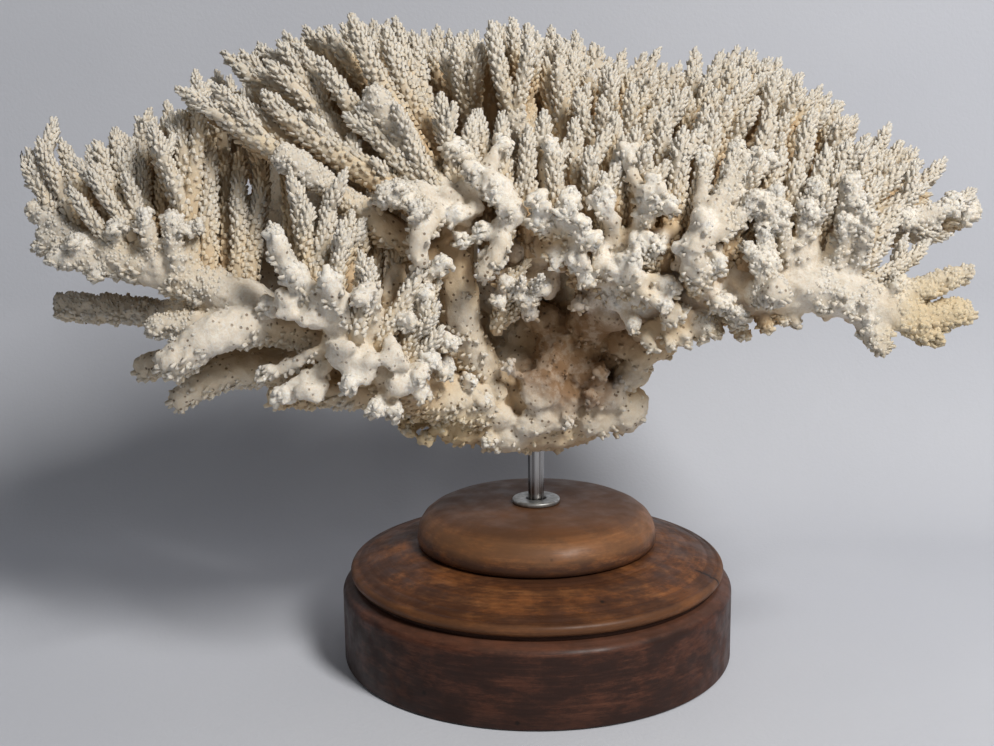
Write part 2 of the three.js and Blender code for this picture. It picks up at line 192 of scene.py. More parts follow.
# A camera behind the wall sees through it, so that the coral's back can be looked at as well.
from_behind = node(tree, "NewGeometry").outputs["Backfacing"]
by_camera = node(tree, "LightPath").outputs["Is Camera Ray"]
clear = node(tree, "BsdfTransparent").outputs[0]
hidden = maths(tree, "MULTIPLY", from_behind, by_camera)
one_sided = node(tree, "MixShader", {0: hidden, 1: shader.outputs[0], 2: clear})
tree.links.new(one_sided.outputs[0], tree.nodes["Material Output"].inputs["Surface"])
backdrop.data.materials.append(paint)


def soft_light(name, place, aim_at, size, power, colour):
    lamp = bpy.data.lights.new(name, "AREA")
    lamp.shape = "RECTANGLE"
    lamp.size, lamp.size_y = size
    lamp.energy = power
    lamp.color = colour
    piece = bpy.data.objects.new(name, lamp)
    bpy.context.scene.collection.objects.link(piece)
    piece.location = place
    piece.rotation_euler = (Vector(aim_at) - Vector(place)).to_track_quat("-Z", "Y").to_euler()


soft_light("window_light", (0.82, -1.05, 1.38), (0, 0, 0.16), (0.40, 0.7), 34, (1.0, 0.98, 0.955))
soft_light("room_light", (-0.5, -1.5, 0.75), (0, 0, 0.2), (1.2, 1.2), 1.6, (0.95, 0.97, 1.0))

world = bpy.data.worlds.new("even_sky")
bpy.context.scene.world = world
world.use_nodes = True
sky = world.node_tree
sky.nodes["Background"].inputs["Color"].default_value = (0.93, 0.96, 1.0, 1)
shown_sky = maths(sky, "MULTIPLY", node(sky, "LightPath").outputs["Is Camera Ray"], 0.42)
sky.links.new(maths(sky, "ADD", shown_sky, 0.065), sky.nodes["Background"].inputs["Strength"])
bpy.context.scene.view_settings.view_transform = "Standard"


# The drum: one disc of a close-grained hardwood, turned, stained dark red-brown and waxed. A small
# bead runs round its shoulder, and the foot's edge is barely broken. It stands on its flat underside.
DRUM_RADIUS = 0.0985
DRUM_TOP = 0.040
STEPS_ROUND = 160
DARK_STAIN_AND_SHADE = (0.026, 0.0115, 0.0080, 1)
BROWN_STAIN = (0.075, 0.027, 0.015, 1)
RED_STAIN = (0.150, 0.060, 0.034, 1)
RED_WEAR_AND_HIGHLIGHT = (0.155, 0.068, 0.040, 1)
KNOT_PLACES = [(-0.052, -0.084, 0.012), (-0.009, -0.0985, 0.004), (0.088, -0.045, 0.021)]


def turned(name, profile):
    deselect()
    mesh = bpy.data.meshes.new(name)
    places = [(radius, 0, height) for radius, height in profile]
    mesh.from_pydata(places, [(i, i + 1) for i in range(len(places) - 1)], [])
    piece = bpy.data.objects.new(name, mesh)
    bpy.context.scene.collection.objects.link(piece)
    choose(piece)
    bpy.ops.object.mode_set(mode="EDIT")
    bpy.ops.mesh.select_all(action="SELECT")
    bpy.ops.mesh.spin(steps=STEPS_ROUND, angle=2 * math.pi, center=(0, 0, 0), axis=(0, 0, 1))
    bpy.ops.mesh.select_all(action="SELECT")
    bpy.ops.mesh.remove_doubles(threshold=0.00001)
    bpy.ops.mesh.normals_make_consistent(inside=False)
    bpy.ops.object.mode_set(mode="OBJECT")
    bpy.ops.object.shade_smooth_by_angle(angle=math.radians(50))
    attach(piece, "root")
    return piece


def arc(middle, radius, start, end, steps):
    turns = [math.radians(start + (end - start) * i / steps) for i in range(steps + 1)]
    return [(middle[0] + radius * math.cos(a), middle[1] + radius * math.sin(a)) for a in turns]


def wood_group():
    # Turned wood: long grain in streaks, rings left by the chisel, dark worn patches and fine pores.
    group = bpy.data.node_groups.new("turned_wood", "ShaderNodeTree")
    for label in ("Dark", "Middle", "Light"):
        group.interface.new_socket(label, in_out="INPUT", socket_type="NodeSocketColor")
    for label in ("Streaks", "Patches", "Rings"):
        group.interface.new_socket(label, in_out="INPUT", socket_type="NodeSocketFloat")
    group.interface.new_socket("Colour", in_out="OUTPUT", socket_type="NodeSocketColor")
    group.interface.new_socket("Roughness", in_out="OUTPUT", socket_type="NodeSocketFloat")
    group.interface.new_socket("Height", in_out="OUTPUT", socket_type="NodeSocketFloat")
    given = group.nodes.new("NodeGroupInput").outputs
    place = object_place(group)
    split = node(group, "SeparateXYZ", {0: place}).outputs
    across = node(group, "VectorMath", {0: place, 1: (1, 1, 0)}, operation="MULTIPLY").outputs[0]
    radius = node(group, "VectorMath", {0: across}, operation="LENGTH").outputs["Value"]
    # The board's grain runs along X, so its streaks are long in X and fine in Y and Z.
    stretched = node(group, "Mapping", {0: place, 3: (22, 120, 620)}).outputs[0]
    streaks = grain(group, stretched, 1.0, 5.0, 0.68)
    fine = node(group, "Mapping", {0: place, 3: (60, 420, 1300)}).outputs[0]
    pores = grain(group, fine, 1.0, 2.0, 0.5)
    smeared = node(group, "Mapping", {0: place, 3: (30, 42, 90)}).outputs[0]
    patches = grain(group, smeared, 1.0, 9.0, 0.74)
    ringed = node(group, "CombineXYZ", {0: radius, 2: split[2]}).outputs[0]
    rings = grain(group, ringed, 620.0, 2.0, 0.6)
    colour = blended(group, ranged(group, patches, 0.36, 0.66), given["Dark"], given["Middle"])
    streak_share = maths(group, "MULTIPLY", ranged(group, streaks, 0.45, 0.72), given["Streaks"])
    colour = blended(group, streak_share, colour, given["Light"])
    worn = maths(group, "MULTIPLY", ranged(group, patches, 0.60, 0.40), given["Patches"])
    colour = blended(group, worn, colour, given["Dark"])
    pored = maths(group, "MULTIPLY", ranged(group, pores, 0.40, 0.30), 0.6)
    colour = blended(group, pored, colour, given["Dark"])
    ring_share = maths(group, "MULTIPLY", ranged(group, rings, 0.42, 0.62), given["Rings"])
    colour = blended(group, ring_share, colour, (1.5, 1.45, 1.4, 1), "MULTIPLY")
    gloss = ranged(group, grain(group, place, 90.0, 5.0), 0.3, 0.7, 0.40, 0.68)
    ring_height = maths(group, "MULTIPLY", rings, given["Rings"])
    height = maths(group, "ADD", maths(group, "MULTIPLY", pores, 0.35), ring_height)
    result = group.nodes.new("NodeGroupOutput").inputs
    group.links.new(colour, result["Colour"])
    group.links.new(gloss, result["Roughness"])
    group.links.new(height, result["Height"])
    return group


WOOD = wood_group()


def spots(tree, places, reach):
    # 1 at each of the places, falling to 0 at the reach.
    total = None
    for spot in places:
        away = node(tree, "VectorMath", {0: object_place(tree), 1: spot}, operation="DISTANCE")
        near = ranged(tree, away.outputs["Value"], reach, reach * 0.25)
        total = near if total is None else maths(tree, "MAXIMUM", total, near)
    return total


def wood_finish(name, stains, streaks, patches, rings, knots, tints):
    # Each tint is (radius or height, from, to, colour, share): a zone toned lighter or darker by wear and
    # turning, and at some rims and feet as a painted highlight and painted shade.
    material, tree, shader = finish_for(name)
    given = {"Streaks": streaks, "Patches": patches, "Rings": rings}
    given.update(zip(("Dark", "Middle", "Light"), stains))
    wood = tree.nodes.new("ShaderNodeGroup")
    wood.node_tree = WOOD
    for label, value in given.items():
        wood.inputs[label].default_value = value
    colour = wood.outputs["Colour"]
    place = object_place(tree)
    height = node(tree, "SeparateXYZ", {0: place}).outputs[2]
    across = node(tree, "VectorMath", {0: place, 1: (1, 1, 0)}, operation="MULTIPLY").outputs[0]
    radius = node(tree, "VectorMath", {0: across}, operation="LENGTH").outputs["Value"]
    uneven = maths(tree, "MULTIPLY", grain(tree, place, 45.0, 5.0, 0.7), 0.004)
    for measure, start, end, tone, share in tints:
        value = maths(tree, "ADD", radius if measure == "radius" else height, uneven)
        zone = ranged(tree, value, start + 0.002, end + 0.002, 0.0, share)
        colour = blended(tree, zone, colour, tone)
    colour = blended(tree, spots(tree, knots, 0.0017), colour, (0.012, 0.006, 0.004, 1))
    tree.links.new(colour, shader.inputs["Base Color"])
    tree.links.new(wood.outputs["Roughness"], shader.inputs["Roughness"])
    shader.inputs["Specular IOR Level"].default_value = 0.18
    shader.inputs["Coat Weight"].default_value = 0.09
    shader.inputs["Coat Roughness"].default_value = 0.30
    bumped(tree, shader, wood.outputs["Height"], 0.00016, 0.8)
    return material


drum = turned(
    "turned_drum",
    [(0, 0), (DRUM_RADIUS - 0.0012, 0)]
    + arc((DRUM_RADIUS - 0.0012, 0.0012), 0.0012, -90, 0, 5)
    + [(DRUM_RADIUS, 0.012), (DRUM_RADIUS, 0.024)]
    + arc((DRUM_RADIUS - 0.0044, DRUM_TOP - 0.0056), 0.0044, 0, 78, 9)
    + [(DRUM_RADIUS - 0.0046, DRUM_TOP - 0.0004), (DRUM_RADIUS - 0.0058, DRUM_TOP), (0, DRUM_TOP)],
)
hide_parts("stand_drum")
# The band round the drum's rounded top edge is lighter, partly wear and partly a painted highlight. The drum
# is also painted darker towards the bottom.
drum_tints = [("height", 0.0365, 0.0385, RED_WEAR_AND_HIGHLIGHT, 0.30), ("height", 0.014, 0.002, DARK_STAIN_AND_SHADE, 0.45)]
drum_stain = wood_finish(
    "drum_wood", (DARK_STAIN_AND_SHADE, BROWN_STAIN, RED_STAIN), 0.48, 0.80, 0.15, KNOT_PLACES, drum_tints
)
drum.data.materials.append(drum_stain)


# The plate: a second turned disc of the same wood, stained warm orange-brown and polished. Its rim is
# a rounded bead over a dark groove, two fine lines are turned in its slope, and one crack has opened
# in the rim at the right. It is glued on the drum.
PLATE_FOOT = 0.04035
PLATE_RADIUS = 0.0943
DOME_FOOT = 0.05785
CHESTNUT = (0.050, 0.020, 0.010, 1)
ORANGE_BROWN = (0.165, 0.060, 0.019, 1)
HONEY = (0.300, 0.130, 0.048, 1)

slope_out = (PLATE_RADIUS - 0.0046, PLATE_FOOT + 0.0090)
slope_in = (0.0600, DOME_FOOT - 0.0006)


def on_slope(radius, lift=0.0):
    share = (slope_out[0] - radius) / (slope_out[0] - slope_in[0])
    bulge = 0.0011 * math.sin(math.pi * share)
    return radius, slope_out[1] + (slope_in[1] - slope_out[1]) * share + bulge + lift


fine_lines = []
for line_radius, depth in ((0.0862, 0.0003), (0.0770, 0.0002), (0.0655, 0.0002)):
    fine_lines += [on_slope(line_radius + 0.0006), on_slope(line_radius, -depth)]
    fine_lines += [on_slope(line_radius - 0.0006), on_slope(line_radius - 0.003)]

plate = turned(
    "turned_plate",
    [(0, PLATE_FOOT), (PLATE_RADIUS - 0.0030, PLATE_FOOT), (PLATE_RADIUS - 0.0026, PLATE_FOOT + 0.0018)]
    + arc((PLATE_RADIUS - 0.0030, PLATE_FOOT + 0.0050), 0.0030, -80, 100, 14)
    + [slope_out]
    + fine_lines
    + [slope_in, (0.0575, DOME_FOOT - 0.0004), (0, DOME_FOOT - 0.0004)],
)
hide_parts("stand_plate")
# The rim's outer bead is painted lighter, partly wear and partly a painted highlight.
plate_tints = [("radius", 0.0845, 0.0890, CHESTNUT, 0.45), ("radius", 0.0918, 0.0934, HONEY, 0.18)]
# The underside of the rim's bead is painted dark, as the shade in the groove over the drum.
plate_tints += [("height", PLATE_FOOT + 0.0035, PLATE_FOOT + 0.0015, DARK_STAIN_AND_SHADE, 0.9)]
plate_stain = wood_finish(
    "plate_wood", (CHESTNUT, ORANGE_BROWN, HONEY), 0.45, 0.60, 0.50, [(0.030, -0.075, 0.053)], plate_tints
)
plate.data.materials.append(plate_stain)

# The crack runs in from the rim almost along X, so its line is given by the distance across it.
CRACK_COLOUR = (0.008, 0.005, 0.004, 1)
CRACK_ALONG = (0.9721, -0.2346, 0)
CRACK_ACROSS = (0.2346, 0.9721, 0)
CRACK_OFFSET = 0.01136
tree = plate_stain.node_tree
shader = tree.nodes["Principled BSDF"]
place = object_place(tree)
wander = maths(tree, "MULTIPLY", maths(tree, "SUBTRACT", grain(tree, place, 160.0, 2.0), 0.5), 0.0022)
across = node(tree, "VectorMath", {0: place, 1: CRACK_ACROSS}, operation="DOT_PRODUCT").outputs["Value"]
inward = node(tree, "VectorMath", {0: place, 1: CRACK_ALONG}, operation="DOT_PRODUCT").outputs["Value"]
off_line = maths(tree, "ABSOLUTE", maths(tree, "ADD", maths(tree, "ADD", across, CRACK_OFFSET), wander))
open_share = ranged(tree, off_line, 0.0011, 0.0005)
crack = maths(tree, "MULTIPLY", open_share, ranged(tree, inward, 0.0800, 0.0850))
sound = shader.inputs["Base Color"].links[0].from_socket
tree.links.new(blended(tree, crack, sound, CRACK_COLOUR), shader.inputs["Base Color"])


# The dome: the top disc, turned to a low cushion shape, of the same wood and finish as the plate.
# A groove parts it from the plate, and the rod's hole is bored down its middle.
DOME_TOP = 0.07735
ROD_HOLE_RADIUS = 0.0047
UMBER = (0.056, 0.026, 0.015, 1)
GOLDEN = (0.260, 0.125, 0.055, 1)

cushion = [(0.0585, 0.0), (0.0600, 0.0009), (0.0605, 0.0030), (0.0602, 0.0060), (0.0592, 0.0095)]
cushion += [(0.0570, 0.0130), (0.0538, 0.0156), (0.0500, 0.0174), (0.0462, 0.0184), (0.0440, 0.0188)]
cushion += [(0.0420, 0.0190), (0.0240, 0.0193), (0.0140, 0.0194)]
dome = turned(
    "turned_dome",
    [(ROD_HOLE_RADIUS, DOME_FOOT)]
    + [(radius, DOME_FOOT + height) for radius, height in cushion]
    + [(ROD_HOLE_RADIUS + 0.0004, DOME_TOP), (ROD_HOLE_RADIUS, DOME_TOP - 0.0004)]
    + [(ROD_HOLE_RADIUS, DOME_FOOT)],
)
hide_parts("stand_dome")
# The band low on the dome's side is painted lighter, a painted highlight that is partly wear. The dome's
# foot, where it curves in over the plate, is painted darker as shade.
dome_tints = [("height", DOME_FOOT + 0.0045, DOME_FOOT + 0.0090, GOLDEN, 0.40)]
dome_tints += [("height", DOME_FOOT + 0.0145, DOME_FOOT + 0.0175, UMBER, 0.55)]
dome_tints += [("height", DOME_FOOT + 0.0050, DOME_FOOT + 0.0015, CHESTNUT, 0.6)]
dome_stain = wood_finish(
    "dome_wood", (UMBER, ORANGE_BROWN, GOLDEN), 0.55, 0.90, 0.50, [(0.0072, -0.0600, 0.0672)], dome_tints
)
dome.data.materials.append(dome_stain)


# The rod and its washer: an 8 mm bright steel rod, drawn, so polished in lines along its length, and
# a plain zinc-plated washer that hides the hole. The rod is glued in the coral.
ROD_RADIUS = 0.004
ROD_FOOT = 0.05935
ROD_TOP = 0.13535
WASHER_FOOT = 0.0777
WASHER_TOP = 0.0797

rod = turned(
    "drawn_rod",
    [(0, ROD_FOOT), (ROD_RADIUS, ROD_FOOT), (ROD_RADIUS, 0.09), (ROD_RADIUS, 0.11)]
    + [(ROD_RADIUS, ROD_TOP), (0, ROD_TOP)],
)
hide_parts("steel_rod")
rod_steel, tree, shader = finish_for("drawn_steel")
drawn = node(tree, "Mapping", {0: object_place(tree), 3: (900, 900, 6)}).outputs[0]
lines = grain(tree, drawn, 1.0, 3.0)
tree.links.new(
    blended(tree, ranged(tree, lines, 0.4, 0.65), (0.16, 0.15, 0.145, 1), (0.46, 0.45, 0.44, 1)),
    shader.inputs["Base Color"],
)
tree.links.new(ranged(tree, lines, 0.3, 0.7, 0.16, 0.32), shader.inputs["Roughness"])
shader.inputs["Metallic"].default_value = 1.0
bumped(tree, shader, lines, 0.00003, 0.6)
rod.data.materials.append(rod_steel)

washer = turned(
    "zinc_washer",
    [(0.0052, WASHER_FOOT), (0.0118, WASHER_FOOT), (0.012, WASHER_FOOT + 0.0003)]
    + [(0.012, WASHER_TOP - 0.0006), (0.0117, WASHER_TOP - 0.0002), (0.0112, WASHER_TOP)]
    + [(0.0056, WASHER_TOP), (0.0052, WASHER_TOP - 0.0004), (0.0052, WASHER_FOOT)],
)
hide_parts("steel_washer")
washer_zinc, tree, shader = finish_for("dull_zinc")
place = object_place(tree)
dull = ranged(tree, grain(tree, place, 420.0, 4.0), 0.35, 0.7)
tree.links.new(
    blended(tree, dull, (0.32, 0.32, 0.305, 1), (0.50, 0.505, 0.49, 1)), shader.inputs["Base Color"]
)
tree.links.new(ranged(tree, dull, 0.0, 1.0, 0.46, 0.33), shader.inputs["Roughness"])
shader.inputs["Metallic"].default_value = 0.85
bumped(tree, shader, grain(tree, place, 1500.0, 2.0), 0.00004, 0.6)
washer.data.materials.append(washer_zinc)


# The coral: one dead, bleached skeleton of lime. Its tips are grey-white, its bodies cream, and its recesses
# tan to dark brown, partly with old dust and partly as painted shade. Old flat surfaces are pricked with fine
# pores, and the ends that broke lately are the whitest. The hollow over the rod is stained rust brown.
MM = 0.001
TIP_WHITE = (0.690, 0.655, 0.590, 1)
WARM_GREY = (0.640, 0.585, 0.495, 1)
CREAM = (0.665, 0.555, 0.400, 1)
TAN = (0.580, 0.430, 0.265, 1)
DUST_AND_SHADE_BROWN = (0.420, 0.275, 0.150, 1)
BROKEN_WHITE = (0.840, 0.800, 0.720, 1)
RUST_STAIN = (0.205, 0.105, 0.040, 1)
YELLOWED = (0.60, 0.465, 0.27, 1)
STAIN_MIDDLE = (0.017, -0.038, 0.161)
PORE_BROWN = (0.15, 0.095, 0.052, 1)
YELLOWED_PLACES = [((0.178, -0.064, 0.178), 0.050, 0.020), ((-0.045, -0.040, 0.128), 0.040, 0.015)]


def coral_finish():
    material, tree, shader = finish_for("coral_lime")
    place = object_place(tree)
    inner = node(tree, "Attribute", attribute_name="inner").outputs["Fac"]
    broken = node(tree, "Attribute", attribute_name="broken").outputs["Fac"]
    cloudy = grain(tree, place, 55.0, 3.0)
    speckled = grain(tree, place, 900.0, 3.0, 0.65)
    shifted = node(tree, "Math", {0: cloudy, 1: 0.34, 2: -0.17}, operation="MULTIPLY_ADD").outputs[0]
    # The ramp runs from the grey-white tips to the brown of the recesses, which is partly dust and partly
    # painted shade.
    ramp = node(tree, "ValToRGB", {0: maths(tree, "ADD", inner, shifted)})
    stops = ramp.color_ramp.elements
    stops[0].position, stops[0].color = 0.0, TIP_WHITE
    stops[1].position, stops[1].color = 1.0, DUST_AND_SHADE_BROWN
    for at, tone in ((0.20, WARM_GREY), (0.42, CREAM), (0.72, TAN)):
        stops.new(at).color = tone
    colour = ramp.outputs[0]
    whiter = maths(tree, "MULTIPLY", broken, ranged(tree, speckled, 0.25, 0.55, 0.7, 1.0))
    colour = blended(tree, whiter, colour, BROKEN_WHITE)
    colour = blended(tree, ranged(tree, speckled, 0.60, 0.42, 0.0, 0.28), colour, TAN, "MIX")
    away = node(tree, "VectorMath", {0: place, 1: STAIN_MIDDLE}, operation="DISTANCE").outputs["Value"]
    reach = maths(tree, "ADD", away, maths(tree, "MULTIPLY", cloudy, 0.022))
    mottled = ranged(tree, grain(tree, place, 170.0, 5.0, 0.6), 0.36, 0.56, 0.70, 1.0)
    rusty = maths(tree, "MULTIPLY", mottled, ranged(tree, reach, 0.052, 0.026, 0.0, 0.92))
    colour = blended(tree, rusty, colour, RUST_STAIN)
    # The fingers at the right end and the foot's left side are yellowed.
    for middle, far, near in YELLOWED_PLACES:
        away = node(tree, "VectorMath", {0: place, 1: middle}, operation="DISTANCE").outputs["Value"]
        reach = maths(tree, "ADD", away, maths(tree, "MULTIPLY", cloudy, 0.020))
        colour = blended(tree, ranged(tree, reach, far, near, 0.0, 0.75), colour, YELLOWED)
    # Fine pores, some nine to the square centimetre on worn bodies and few on fresh breaks.
    cells = node(tree, "TexVoronoi", {"Vector": place, "Scale": 290.0}, feature="F1").outputs["Distance"]
    hole = ranged(tree, cells, 0.24, 0.13)
    pored = node(tree, "Attribute", attribute_name="pored").outputs["Fac"]
    hole = maths(tree, "MULTIPLY", hole, pored)
    colour = blended(tree, maths(tree, "MULTIPLY", hole, 0.8), colour, PORE_BROWN)
    tree.links.new(colour, shader.inputs["Base Color"])
    shader.inputs["Roughness"].default_value = 0.86
    shader.inputs["Specular IOR Level"].default_value = 0.18
    shader.inputs["Subsurface Weight"].default_value = 0.35
    shader.inputs["Subsurface Radius"].default_value = (1.0, 0.85, 0.65)
    shader.inputs["Subsurface Scale"].default_value = 0.0022
    height = maths(tree, "SUBTRACT", maths(tree, "MULTIPLY", speckled, 0.6), hole)
    bumped(tree, shader, height, 0.0006, 0.75)
    return material


CORAL = coral_finish()


# The field of sprigs: where their tips stand and how they lean. In millimetres, as all of the coral's
# growth is: +X is to the right and +Y to the back. Stout trunks rise from the limbs, and each forks
# below its top into a handful of twigs that fan out.
CROWN = [(-250, 246), (-226, 258), (-204, 263), (-158, 280), (-150, 296), (-120, 309), (-90, 319), (-45, 320)]
CROWN += [(0, 314), (31, 302), (76, 303), (110, 297), (145, 281), (174, 262), (191, 246), (215, 230)]
FRONT_DROP = [(-250, 0), (-150, 8), (-110, 34), (-40, 24), (20, 30), (90, 46), (150, 44), (215, 24)]
FRONT_EDGE = [(-250, -78), (-148, -80), (-128, -60), (-96, -22), (-60, -6), (-20, -30), (60, -36)]
FRONT_EDGE += [(86, -66), (150, -78), (215, -50)]
LEAN = [(-240, -0.8), (-200, -0.5), (-160, -0.12), (-60, -0.05), (0, 0), (60, 0.18), (110, 0.38)]
LEAN += [(150, 0.55), (215, 0.8)]
LEAN_FOR_DEPTH = 0.003
FIELD_MIDDLE = (-17, 15)
FIELD_HALF_WIDTH = 232
FIELD_HALF_DEPTH = 114
TRUNK_PITCH = 26.3
TWIG_PITCH = 12.2
TRUNK_UNEVENNESS = 18
SHORTEST_TRUNK = 24
LONGEST_TRUNK = 152
rng = np.random.default_rng(41)


def chance(n):
    s = np.sin(n * 12.9898 + 78.233) * 43758.5453
    return s - np.floor(s)


def unit(v):
    return v / np.maximum(np.linalg.norm(v, axis=-1, keepdims=True), 1e-9)


def smooth_step(value, start, end):
    share = np.clip((value - start) / (end - start), 0, 1)
    return share * share * (3 - 2 * share)


def along(points, x):
    return np.interp(x, [p[0] for p in points], [p[1] for p in points])


def crown(x, y):
    front = along(FRONT_DROP, x) * smooth_step(-y, 8, 66)
    return along(CROWN, x) - front - 42 * smooth_step(y, 62, 128)


def grid_tips(pitch, unevenness):
    # Points of a shaken triangular grid that fill the field in plan, each at the crown's height.
    row_pitch = pitch * math.sqrt(0.75)
    rows = math.ceil(FIELD_HALF_DEPTH / row_pitch)
    columns = math.ceil(FIELD_HALF_WIDTH / pitch)
    row, column = np.mgrid[-rows : rows + 1, -columns : columns + 1]
    seed = (row + 50) * 100 + column + 50
    x = FIELD_MIDDLE[0] + (column + 0.5 * np.fmod(row, 2) + 0.4 * (chance(seed) - 0.5)) * pitch
    y = FIELD_MIDDLE[1] + (row + 0.4 * (chance(seed + 0.37) - 0.5)) * row_pitch
    reach = np.hypot((x - FIELD_MIDDLE[0]) / FIELD_HALF_WIDTH, (y - FIELD_MIDDLE[1]) / FIELD_HALF_DEPTH)
    kept = (reach <= 1) & (y >= along(FRONT_EDGE, x))
    x, y = x[kept], y[kept]
    return np.stack([x, y, crown(x, y) - unevenness * chance(seed[kept] + 0.71)], 1)


